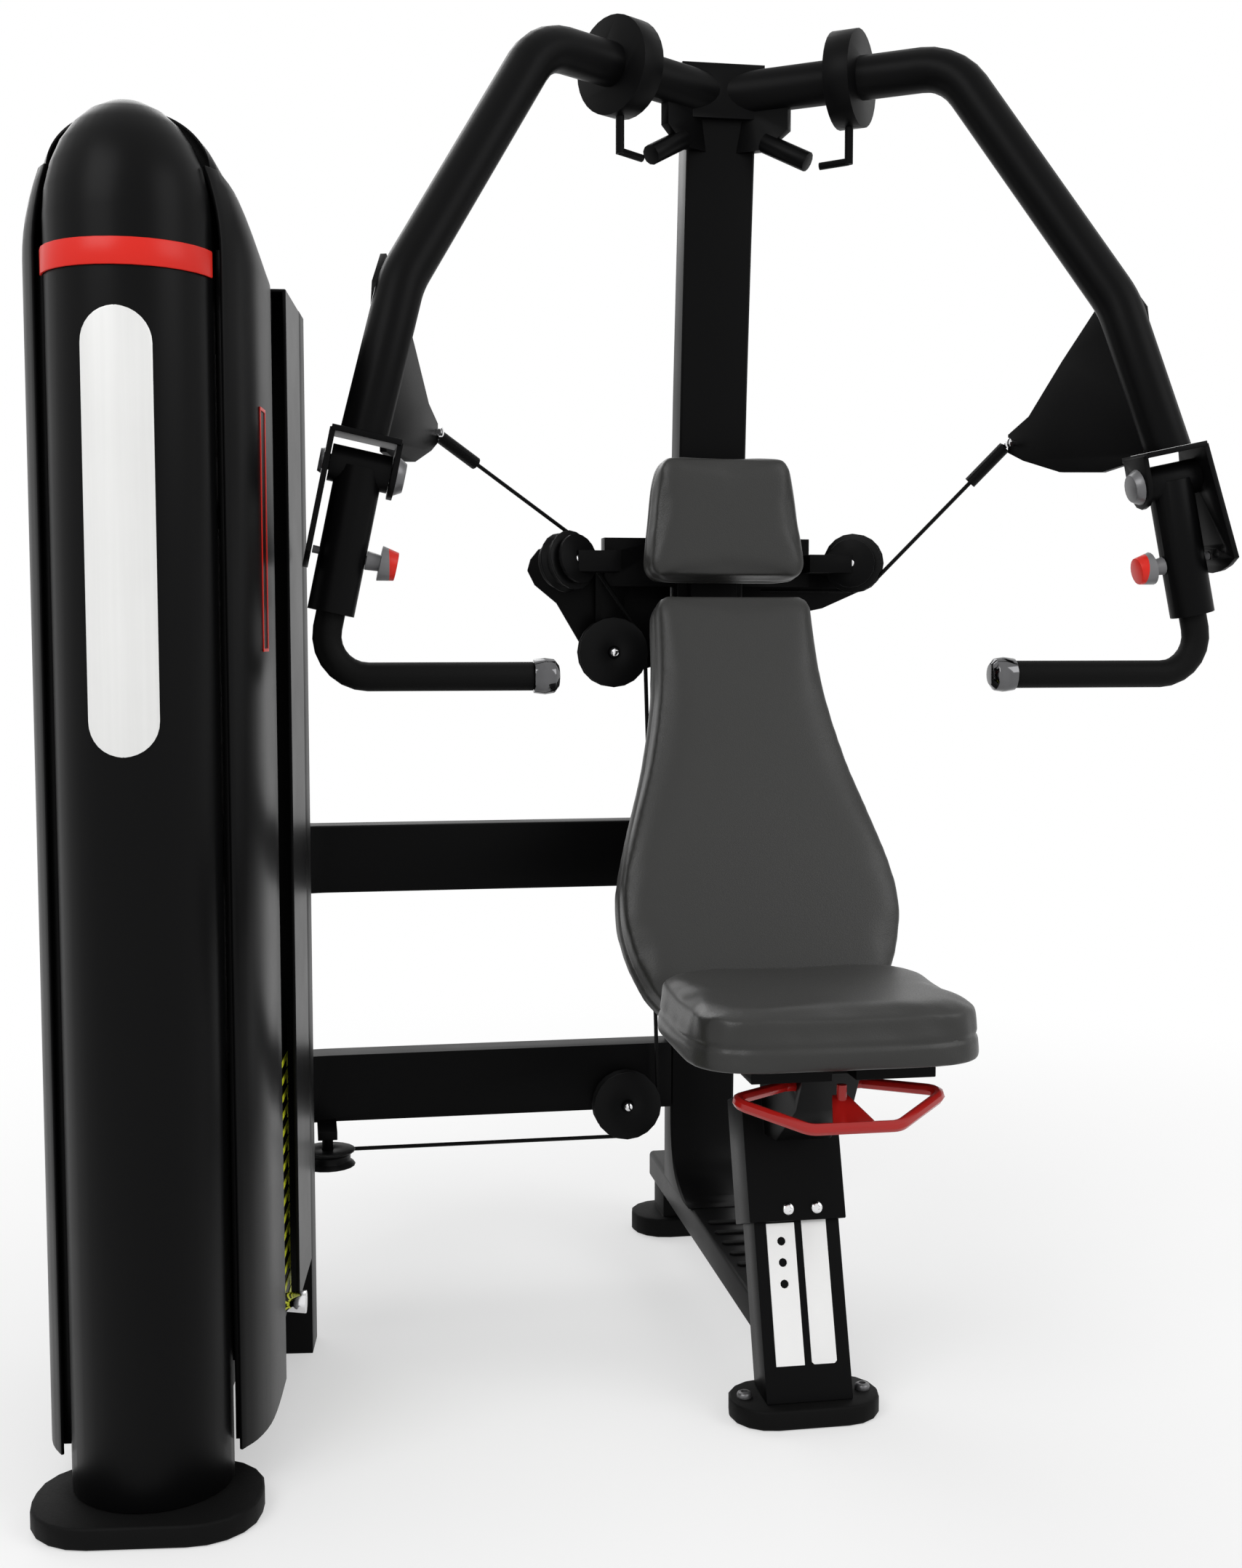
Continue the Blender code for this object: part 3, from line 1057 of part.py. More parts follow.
def tower_frame_solid():
    """Welded tower frame: base, posts, top beam, stack pedestal, cover ties and pulley carriers."""
    floor_z = FOOT_HEIGHT + GAP
    post_front = TOWER_REAR - TOWER_POST_DEPTH
    frame = box("tower_frame", (-0.045, -0.05, floor_z), (0.045, TOWER_REAR - 0.02, 0.085))
    pieces = [
        box("rear", (-HOOD_HALF_WIDTH, post_front, 0.0), (HOOD_HALF_WIDTH, TOWER_REAR, TOWER_HEIGHT)),
        box("front", (-0.03, 0.032, 0.05), (0.03, 0.080, TOP_BEAM_HIGH_Z - 0.006)),
        box("top", (-0.034, 0.040, TOP_BEAM_LOW_Z), (0.034, TOWER_REAR - 0.02, TOP_BEAM_HIGH_Z)),
        box("rod_tie", (-0.028, 0.060, ROD_TOP_Z), (0.028, post_front + 0.02, ROD_TOP_Z + ROD_TIE_THICK)),
        box("pedestal", (-0.065, STACK_S - 0.07, 0.06), (0.065, STACK_S + 0.07, STACK_BOTTOM_Z - GAP))]
    for z in (0.25, 1.10):
        pieces.append(box("tie", (-0.080, GAP, z - 0.020), (0.080, 0.040, z + 0.020)))
        pieces.append(box("wing", (-0.1208, 0.066, z - 0.015), (0.1208, 0.074, z + 0.015)))
    top_s = STACK_S + groove_route_radius(TOP_PULLEY_RADIUS)
    side = PULLEY_THICK / 2 + RUN
    for way in (1, -1):
        low_u, high_u = sorted((way * side, way * (side + 0.006)))
        pieces.append(box("hanger", (low_u, top_s - 0.016, TOP_PULLEY_Z - 0.018),
                          (high_u, top_s + 0.016, TOP_BEAM_LOW_Z + 0.01)))
    pieces.append(rod("top_axle", (-side - 0.003, top_s, TOP_PULLEY_Z), (side + 0.003, top_s, TOP_PULLEY_Z),
                      AXLE_RADIUS, 16))
    to_local = Matrix.Rotation(-TOWER_TURN, 4, "Z") @ Matrix.Translation(-TOWER_PLACE)
    centre, way = base_pulley_place()
    centre = to_local @ centre
    way = (to_local.to_3x3() @ way).normalized()
    across = way.cross(Vector((0, 0, 1)))
    stand = Matrix((
        (across.x, way.x, 0.0, centre.x),
        (across.y, way.y, 0.0, centre.y),
        (0.0, 0.0, 1.0, 0.0),
        (0.0, 0.0, 0.0, 1.0)))
    pieces.append(box("stand", (-side - 0.006, -0.014, 0.055), (-side, 0.014, centre.z + 0.014), stand))
    pieces.append(rod("base_axle", centre - across * (side + 0.004), centre + across * side, AXLE_RADIUS, 16))
    frame = join(frame, *pieces)
    foot, leave = cable_rise()
    foot, leave = to_local @ foot, to_local @ leave
    for place in (STACK_S, foot.y):
        frame = cut(frame, rod("cable_room", (0, place, ROD_TOP_Z - 0.02), (0, place, ROD_TOP_Z + 0.04),
                               CABLE_RADIUS + 0.003, 10))
    share = (TOWER_REAR - TOWER_POST_DEPTH / 2 - foot.y) / (leave.y - foot.y)
    middle = foot.lerp(leave, share)
    return cut(frame, box("cable_slot", (middle.x - 0.032, post_front - 0.01, middle.z - 0.014),
                          (middle.x + 0.032, TOWER_REAR + 0.01, middle.z + 0.014)))


def plate_pile(name, low, count):
    """A pile of plates with a groove at each joint, bored for the guide rods."""
    high = low + count * PLATE_PITCH
    width = PLATE_WIDTH / 2
    near, far = STACK_S - PLATE_LENGTH / 2, STACK_S + PLATE_LENGTH / 2
    pile = box(name, (-width, near, low + GAP), (width, far, high))
    for k in range(1, count):
        z = low + k * PLATE_PITCH
        for side in (1, -1):
            pile = cut(pile, box("groove", (side * width - 0.003, near - 0.01, z - PLATE_GROOVE / 2),
                                 (side * width + 0.003, far + 0.01, z + PLATE_GROOVE / 2)))
    return bored(pile)


def bored(solid):
    """Bore a stack piece for the two guide rods."""
    for side in (1, -1):
        place = STACK_S + side * ROD_SPACING / 2
        solid = cut(solid, rod("rod_room", (0, place, 0), (0, place, 1.0), ROD_RADIUS + GAP, 16))
    return solid


def column_profile(radius, top_z, dome, steps=7):
    """Outer (radius, height) points of a domed column from its crown down to its shoulder."""
    made = [(0.0, top_z)]
    for k in range(1, steps + 1):
        angle = math.radians(90 - 90 * k / steps)
        made.append((radius * math.cos(angle), top_z - dome * (1 - math.sin(angle))))
    return made


def leaning_band(name, route, side):
    """Side cover: an upright band on a plan route, its sloping top leaning in over the column's shoulder."""
    outline = thick_route(route, COVER_THICK)
    bm = bmesh.new()
    rings = []
    for step in range(-1, COVER_LEAN_STEPS + 1):
        share = max(step, 0) / COVER_LEAN_STEPS
        ring = []
        for place in outline:
            top = COVER_TOP_Z - COVER_SLOPE * max(place.y, 0.0)
            z = COVER_BOTTOM_Z if step < 0 else COVER_LEAN_Z + (top - COVER_LEAN_Z) * share
            lean = COVER_LEAN * share * share
            ring.append(bm.verts.new((place.x - side * lean, place.y, z)))
        rings.append(ring)
    for low, high in zip(rings, rings[1:]):
        for k in range(len(outline)):
            bm.faces.new((low[k - 1], low[k], high[k], high[k - 1]))
    bm.faces.new(rings[0])
    bm.faces.new(rings[-1])
    bmesh.ops.triangulate(bm, faces=[face for face in bm.faces if len(face.verts) > 4])
    return mesh_object(name, bm)


def build_tower():
    """Weight tower in its own turned frame: covers, frame, guide rods, stack and pulleys."""
    axis = empty("tower_axis", TOWER_PLACE, TOWER_TURN)

    def put(obj, look, parent=axis):
        return link(finish(obj, look), parent, keep=False)

    outline = stadium(TOWER_FOOT_LENGTH, TOWER_FOOT_DEPTH, TOWER_FOOT_DEPTH * 0.44, 5)
    foot = plate("tower_foot", outline, FOOT_HEIGHT,
                 Matrix.Translation((0, TOWER_FOOT_S, FOOT_HEIGHT / 2)))
    put(smooth(soften(foot, 0.006)), RUBBER)
    put(tower_frame_solid(), BLACK_STEEL)

    inner = column_profile(COLUMN_RADIUS - COLUMN_WALL, COLUMN_TOP_Z - COLUMN_WALL, COLUMN_DOME - COLUMN_WALL)
    floor_z = FOOT_HEIGHT + GAP
    profile = column_profile(COLUMN_RADIUS, COLUMN_TOP_Z, COLUMN_DOME)
    profile += [(COLUMN_RADIUS, floor_z), (COLUMN_RADIUS - COLUMN_WALL, floor_z)] + inner[::-1]
    cover = turned("column_cover", profile, Matrix(), 32)
    cover = cut(cover, box("half", (-0.2, 0.0, -0.1), (0.2, 0.2, 1.7)))
    put(smooth(cover), BLACK_STEEL)

    ring_in, half = COLUMN_RADIUS + GAP, BAND_HEIGHT / 2
    ring_out = ring_in + BAND_THICK
    profile = [(ring_in, BAND_Z + half), (ring_out, BAND_Z + half), (ring_out, BAND_Z - half),
               (ring_in, BAND_Z - half), (ring_in, BAND_Z + half)]
    band = turned("red_band", profile, Matrix(), 32)
    put(smooth(cut(band, box("half", (-0.2, -0.020, 1.0), (0.2, 0.2, 1.7)))), RED_PAINT)

    for side in (1, -1):
        route = [Vector((side * 0.0975, -0.014)), Vector((side * 0.112, 0.012)), Vector((side * 0.122, 0.052)),
                 Vector((side * COVER_HALF_WIDTH, 0.105)), Vector((side * COVER_HALF_WIDTH, COVER_REAR))]
        put(smooth(leaning_band(named(side, "side_cover"), smooth_route(route, 3), side)), BLACK_STEEL)

    post_front = TOWER_REAR - TOWER_POST_DEPTH
    hood = box("rear_hood", (-HOOD_HALF_WIDTH, HOOD_FRONT, HOOD_LOW_Z),
               (HOOD_HALF_WIDTH, post_front - GAP, TOWER_HEIGHT))
    wide = HOOD_HALF_WIDTH - HOOD_WALL
    room = box("room", (-wide, HOOD_FRONT - 0.05, 0.05),
               (wide, post_front + 0.05, TOWER_HEIGHT - HOOD_WALL))
    put(cut(hood, room), BLACK_STEEL)

    for name, side in (("front_guide_rod", -1), ("rear_guide_rod", 1)):
        place = STACK_S + side * ROD_SPACING / 2
        put(smooth(rod(name, (0, place, STACK_BOTTOM_Z), (0, place, ROD_TOP_Z - GAP), ROD_RADIUS, 16)), CHROME)

    middle = STACK_BOTTOM_Z + RESTING_PLATES * PLATE_PITCH
    high = middle + LIFTED_PLATES * PLATE_PITCH
    lift = empty("stack_lift", (0.0, STACK_S, high))
    lift.parent = axis
    bpy.context.view_layer.update()
    stem_low = Vector((0, STACK_S, STACK_BOTTOM_Z + STEM_FLOOR))
    stem_high = Vector((0, STACK_S, high + TOP_PLATE_THICK + STEM_RISE))
    down = Vector((0, 0, -0.1))
    stem_room = (stem_low + down, stem_high - down)
    resting = cut(plate_pile("bottom_plate", STACK_BOTTOM_Z, RESTING_PLATES),
                  rod("stem_room", *stem_room, STEM_RADIUS + RUN, 16))
    put(resting, BLACK_STEEL)
    pin_z = middle + PLATE_PITCH / 2
    pin_in, pin_out = Vector((-0.006, STACK_S, pin_z)), Vector((PLATE_WIDTH / 2, STACK_S, pin_z))
    out = Vector((1.0, 0.0, 0.0))
    lifted = cut(plate_pile("lifted_plates", middle, LIFTED_PLATES),
                 rod("stem_room", *stem_room, STEM_RADIUS + GAP, 16))
    lifted = cut(lifted, rod("pin_room", (0.0, STACK_S, pin_z), pin_out + out * 0.1, SELECTOR_RADIUS + GAP, 10))
    head = box("top_plate", (-PLATE_WIDTH / 2, STACK_S - PLATE_LENGTH / 2, high + GAP),
               (PLATE_WIDTH / 2, STACK_S + PLATE_LENGTH / 2, high + TOP_PLATE_THICK))
    head = bored(join(head, rod("stem", stem_low, stem_high, STEM_RADIUS, 16)))
    head = cut(head, rod("pin_room", pin_in - out * 0.002, pin_out + out * 0.1, SELECTOR_RADIUS + GAP, 10))
    pin = join(rod("selector_pin", pin_in, pin_out + out * 0.012, SELECTOR_RADIUS, 10),
               rod("grip", pin_out + out * GAP, pin_out + out * 0.030, 0.011, 16, 0.014))
    for obj, look in ((lifted, BLACK_STEEL), (head, BLACK_STEEL), (smooth(pin), CHROME)):
        link(finish(obj, look), lift, keep=False)
        obj.data.transform(Matrix.Translation((0.0, -STACK_S, -high)))

    top_s = STACK_S + groove_route_radius(TOP_PULLEY_RADIUS)
    put(pulley("tower_top_pulley", (0, top_s, TOP_PULLEY_Z), (1, 0, 0), TOP_PULLEY_RADIUS), NYLON)
    centre, way = base_pulley_place()
    link(pulley("tower_base_pulley", centre, way.cross(Vector((0, 0, 1))), BASE_PULLEY_RADIUS))


build_main_frame()
build_seat()
build_pads()
build_yoke()
build_arms()
build_side_pulleys()
build_cables()
build_tower()
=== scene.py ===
"""Looks of a seated press machine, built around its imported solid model."""

import json
import logging
import math
from dataclasses import dataclass, field
from enum import Enum
from typing import Callable, Sequence

import bpy
import numpy as np
from mathutils import Euler, Matrix, Vector


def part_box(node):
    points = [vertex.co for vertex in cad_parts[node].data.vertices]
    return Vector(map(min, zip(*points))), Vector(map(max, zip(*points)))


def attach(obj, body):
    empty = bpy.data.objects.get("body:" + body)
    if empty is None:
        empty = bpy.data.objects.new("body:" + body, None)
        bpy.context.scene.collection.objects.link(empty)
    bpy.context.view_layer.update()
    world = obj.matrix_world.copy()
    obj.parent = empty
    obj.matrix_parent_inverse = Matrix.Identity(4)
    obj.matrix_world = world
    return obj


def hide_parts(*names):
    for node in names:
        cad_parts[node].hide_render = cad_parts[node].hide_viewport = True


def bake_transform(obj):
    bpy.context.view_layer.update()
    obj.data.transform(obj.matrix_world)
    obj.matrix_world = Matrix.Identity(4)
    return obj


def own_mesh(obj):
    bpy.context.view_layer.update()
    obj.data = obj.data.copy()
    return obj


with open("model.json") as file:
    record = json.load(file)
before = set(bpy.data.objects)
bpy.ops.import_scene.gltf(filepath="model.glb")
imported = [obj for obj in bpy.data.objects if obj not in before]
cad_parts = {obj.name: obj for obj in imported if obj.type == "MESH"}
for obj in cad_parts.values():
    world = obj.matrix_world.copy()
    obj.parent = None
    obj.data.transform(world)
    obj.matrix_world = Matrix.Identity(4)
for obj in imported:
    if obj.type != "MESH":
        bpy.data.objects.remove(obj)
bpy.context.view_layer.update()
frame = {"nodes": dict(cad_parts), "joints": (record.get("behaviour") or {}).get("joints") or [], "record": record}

Object = bpy.types.Object
Socket = bpy.types.NodeSocket
Tree = bpy.types.NodeTree
Pair = tuple[float, float]
Triple = tuple[float, float, float]

log = logging.getLogger("press_machine")

FRAME_BODY = "machine_frame"
SIDES = {"left": -1.0, "right": 1.0}
UP = Vector((0.0, 0.0, 1.0))
SIDEWAYS = Vector((1.0, 0.0, 0.0))
REARWARD = Vector((0.0, 1.0, 0.0))


class Pattern(Enum):
    """Surface pattern that a finish is built on."""

    POWDER = "powder_coat_peel"
    VINYL = "vinyl_grain"
    BRUSHED = "brushed_streaks"
    STRAND = "wound_strands"


class PatternGroups:
    """Shader node groups shared by the finishes, one for each pattern."""

    @staticmethod
    def group(pattern: Pattern) -> Tree:
        """Find or build the node group of a pattern.

        Args:
            pattern: The surface pattern wanted.

        Returns:
            The node group, with Colour, Roughness and Height outputs.
        """
        found = bpy.data.node_groups.get(pattern.value)
        if found:
            return found
        tree = bpy.data.node_groups.new(pattern.value, "ShaderNodeTree")
        for name in ("Tone A", "Tone B"):
            tree.interface.new_socket(name, in_out="INPUT", socket_type="NodeSocketColor")
        for name in ("Rough Low", "Rough High", "Scale"):
            tree.interface.new_socket(name, in_out="INPUT", socket_type="NodeSocketFloat")
        tree.interface.new_socket("Colour", in_out="OUTPUT", socket_type="NodeSocketColor")
        for name in ("Roughness", "Height"):
            tree.interface.new_socket(name, in_out="OUTPUT", socket_type="NodeSocketFloat")
        PatternGroups.fill(tree, pattern)
        return tree

    @staticmethod
    def fill(tree: Tree, pattern: Pattern) -> None:
        """Wire a pattern group.

        Args:
            tree: The empty group.
            pattern: The surface pattern it holds.
        """
        make, wire = tree.nodes.new, tree.links.new
        inward, outward = make("NodeGroupInput"), make("NodeGroupOutput")
        place = make("ShaderNodeTexCoord").outputs["Object"]
        cloudy = make("ShaderNodeTexNoise")
        cloudy.inputs["Scale"].default_value = 9.0
        cloudy.inputs["Detail"].default_value = 5.0
        wire(place, cloudy.inputs["Vector"])
        relief = PatternGroups.relief(tree, pattern, place, inward.outputs["Scale"])
        tone = make("ShaderNodeMath")
        tone.operation = "MULTIPLY_ADD"
        tone.inputs[1].default_value = 0.5
        wire(relief, tone.inputs[0])
        half = make("ShaderNodeMath")
        half.operation = "MULTIPLY"
        half.inputs[1].default_value = 0.5
        wire(cloudy.outputs["Fac"], half.inputs[0])
        wire(half.outputs[0], tone.inputs[2])
        mix = make("ShaderNodeMix")
        mix.data_type = "RGBA"
        wire(tone.outputs[0], mix.inputs["Factor"])
        wire(inward.outputs["Tone A"], mix.inputs[6])
        wire(inward.outputs["Tone B"], mix.inputs[7])
        spread = make("ShaderNodeMapRange")
        wire(tone.outputs[0], spread.inputs["Value"])
        spread.inputs["From Min"].default_value = 0.25
        spread.inputs["From Max"].default_value = 0.75
        wire(inward.outputs["Rough Low"], spread.inputs["To Min"])
        wire(inward.outputs["Rough High"], spread.inputs["To Max"])
        wire(mix.outputs[2], outward.inputs["Colour"])
        wire(spread.outputs["Result"], outward.inputs["Roughness"])
        wire(relief, outward.inputs["Height"])

    @staticmethod
    def relief(tree: Tree, pattern: Pattern, place: Socket,
               scale: Socket) -> Socket:
        """Add the nodes that give a pattern's height.

        Args:
            tree: The pattern's node group.
            pattern: The surface pattern.
            place: The coordinates the pattern is laid out in.
            scale: How fine the pattern is.

        Returns:
            The socket that carries the height, from 0 to 1.
        """
        make, wire = tree.nodes.new, tree.links.new
        if pattern is Pattern.VINYL:
            cells = make("ShaderNodeTexVoronoi")
            cells.feature = "SMOOTH_F1"
            cells.inputs["Smoothness"].default_value = 0.35
            wire(place, cells.inputs["Vector"])
            wire(scale, cells.inputs["Scale"])
            return cells.outputs["Distance"]
        if pattern is Pattern.STRAND:
            wave = make("ShaderNodeTexWave")
            wave.bands_direction = "DIAGONAL"
            wire(place, wave.inputs["Vector"])
            wire(scale, wave.inputs["Scale"])
            return wave.outputs["Fac"]
        grain = make("ShaderNodeTexNoise")
        grain.inputs["Detail"].default_value = 3.0
        wire(scale, grain.inputs["Scale"])
        if pattern is Pattern.BRUSHED:
            stretch = make("ShaderNodeMapping")
            stretch.inputs["Scale"].default_value = (1.0, 1.0, 0.02)
            wire(place, stretch.inputs["Vector"])
            place = stretch.outputs["Vector"]
        wire(place, grain.inputs["Vector"])
        return grain.outputs["Fac"]


@dataclass(frozen=True)
class Finish:
    """One surface finish: two close tones, a roughness range and a fine relief."""

    name: str
    slot: str
    colour: Triple
    rough: Pair
    pattern: Pattern = Pattern.POWDER
    scale: float = 700.0
    relief: float = 0.00004
    tone_step: float = 0.75
    metallic: float = 0.0
    specular: float = 0.30
    coat: float = 0.0
    sheen: float = 0.0

    def material(self) -> bpy.types.Material:
        """Find or build the material of this finish."""
        found = bpy.data.materials.get(self.name)
        if found:
            return found
        made = bpy.data.materials.new(self.name)
        made.use_nodes = True
        tree = made.node_tree
        shader = tree.nodes["Principled BSDF"]
        shader.inputs["Metallic"].default_value = self.metallic
        shader.inputs["Specular IOR Level"].default_value = self.specular
        shader.inputs["Coat Weight"].default_value = self.coat
        shader.inputs["Coat Roughness"].default_value = 0.12
        shader.inputs["Sheen Weight"].default_value = self.sheen
        pattern = tree.nodes.new("ShaderNodeGroup")
        pattern.node_tree = PatternGroups.group(self.pattern)
        darker = tuple(part * self.tone_step for part in self.colour)
        pattern.inputs["Tone A"].default_value = (*darker, 1.0)
        pattern.inputs["Tone B"].default_value = (*self.colour, 1.0)
        pattern.inputs["Rough Low"].default_value = self.rough[0]
        pattern.inputs["Rough High"].default_value = self.rough[1]
        pattern.inputs["Scale"].default_value = self.scale
        bump = tree.nodes.new("ShaderNodeBump")
        bump.inputs["Distance"].default_value = self.relief
        wire = tree.links.new
        wire(pattern.outputs["Colour"], shader.inputs["Base Color"])
        wire(pattern.outputs["Roughness"], shader.inputs["Roughness"])
        wire(pattern.outputs["Height"], bump.inputs["Height"])
        wire(bump.outputs["Normal"], shader.inputs["Normal"])
        return made


POWDER_BLACK = Finish("powder_black", "black_paint", (0.0030, 0.0030, 0.0032), (0.34, 0.46),
                      specular=0.06)
COVER_BLACK = Finish("cover_black", "cover_plastic", (0.0028, 0.0028, 0.0030), (0.30, 0.40),
                     scale=1100.0, relief=0.00002, specular=0.08)
CHARCOAL_VINYL = Finish("charcoal_vinyl", "upholstery", (0.0250, 0.0250, 0.0237), (0.33, 0.45),
                        pattern=Pattern.VINYL, scale=520.0, relief=0.00010, tone_step=0.86,
                        specular=0.32, sheen=0.02)
BLACK_RUBBER = Finish("black_rubber", "rubber", (0.0045, 0.0045, 0.0045), (0.50, 0.66), scale=420.0,
                      relief=0.00008, specular=0.07)
RED_GLOSS = Finish("red_gloss", "red_paint", (0.37, 0.010, 0.008), (0.18, 0.28), tone_step=0.85,
                   specular=0.34, coat=0.10)
RED_MOULDED = Finish("red_moulded", "red_plastic", (0.66, 0.019, 0.011), (0.28, 0.38),
                     tone_step=0.9, specular=0.22)
CHROME = Finish("bright_chrome", "chrome", (0.78, 0.78, 0.79), (0.07, 0.15),
                pattern=Pattern.BRUSHED, scale=300.0, relief=0.00001, tone_step=0.9,
                metallic=1.0, specular=0.5)
# Handle caps: chrome whose base colour is darkened far below bright chrome, a painted dark reflection.
DARK_REFLECTION_CHROME = Finish("cap_chrome_painted_dark_reflection", "chrome", (0.17, 0.17, 0.175), (0.05, 0.12),
                    pattern=Pattern.BRUSHED, scale=90.0, relief=0.00001, tone_step=0.30,
                    metallic=1.0, specular=0.5)
NYLON = Finish("pulley_nylon", "pulley_plastic", (0.0042, 0.0043, 0.0045), (0.34, 0.46),
               scale=500.0, specular=0.10)
STEEL_GREY = Finish("pin_grey", "pin_steel", (0.16, 0.16, 0.165), (0.30, 0.42),
                    pattern=Pattern.BRUSHED, scale=260.0, metallic=0.6, specular=0.5)
CABLE_BLACK = Finish("cable_black", "cable", (0.004, 0.004, 0.0042), (0.34, 0.50),
                     pattern=Pattern.STRAND, scale=420.0, relief=0.0003, specular=0.08)
SILVER_PLATE = Finish("silver_plate", "strip", (0.80, 0.80, 0.79), (0.28, 0.40),
                      pattern=Pattern.BRUSHED, scale=160.0, relief=0.00003, tone_step=0.82,
                      metallic=0.15, specular=0.5)
WHITE_STRIP = Finish("white_strip", "strip", (0.90, 0.90, 0.895), (0.36, 0.48), tone_step=0.94,
                     specular=0.45)
LABEL_YELLOW = Finish("label_yellow", "strip", (0.80, 0.86, 0.03), (0.40, 0.50), tone_step=0.95,
                      specular=0.4)


class KnobFinish:
    """Red knob whose plunger, beyond a given distance from the middle, is bare steel."""

    name = "knob_red_and_steel"
    plunger_starts = 0.497

    @staticmethod
    def material() -> bpy.types.Material:
        """Find or build the two-tone material."""
        found = bpy.data.materials.get(KnobFinish.name)
        if found:
            return found
        made = RED_MOULDED.material().copy()
        made.name = KnobFinish.name
        tree = made.node_tree
        shader = tree.nodes["Principled BSDF"]
        red = shader.inputs["Base Color"].links[0].from_socket
        apart = tree.nodes.new("ShaderNodeSeparateXYZ")
        tree.links.new(tree.nodes.new("ShaderNodeTexCoord").outputs["Object"], apart.inputs[0])
        outward = tree.nodes.new("ShaderNodeMath")
        outward.operation = "ABSOLUTE"
        tree.links.new(apart.outputs["X"], outward.inputs[0])
        beyond = tree.nodes.new("ShaderNodeMath")
        beyond.operation = "GREATER_THAN"
        beyond.inputs[1].default_value = KnobFinish.plunger_starts
        tree.links.new(outward.outputs[0], beyond.inputs[0])
        mix = tree.nodes.new("ShaderNodeMix")
        mix.data_type = "RGBA"
        tree.links.new(beyond.outputs[0], mix.inputs["Factor"])
        tree.links.new(red, mix.inputs[6])
        mix.inputs[7].default_value = (*STEEL_GREY.colour, 1.0)
        tree.links.new(mix.outputs[2], shader.inputs["Base Color"])
        return made


FINISH_OF_ENDING = {"pull_knob": KnobFinish, "handle_cap": DARK_REFLECTION_CHROME}
FINISH_OF_SLOT = {
    "black_paint": POWDER_BLACK,
    "upholstery": CHARCOAL_VINYL,
    "rubber": BLACK_RUBBER,
    "red_paint": RED_GLOSS,
    "red_plastic": RED_MOULDED,
    "chrome": CHROME,
    "pulley_plastic": NYLON,
    "cover_plastic": COVER_BLACK,
    "cable": CABLE_BLACK,
    "strip": WHITE_STRIP,
    "pin_steel": STEEL_GREY,
}


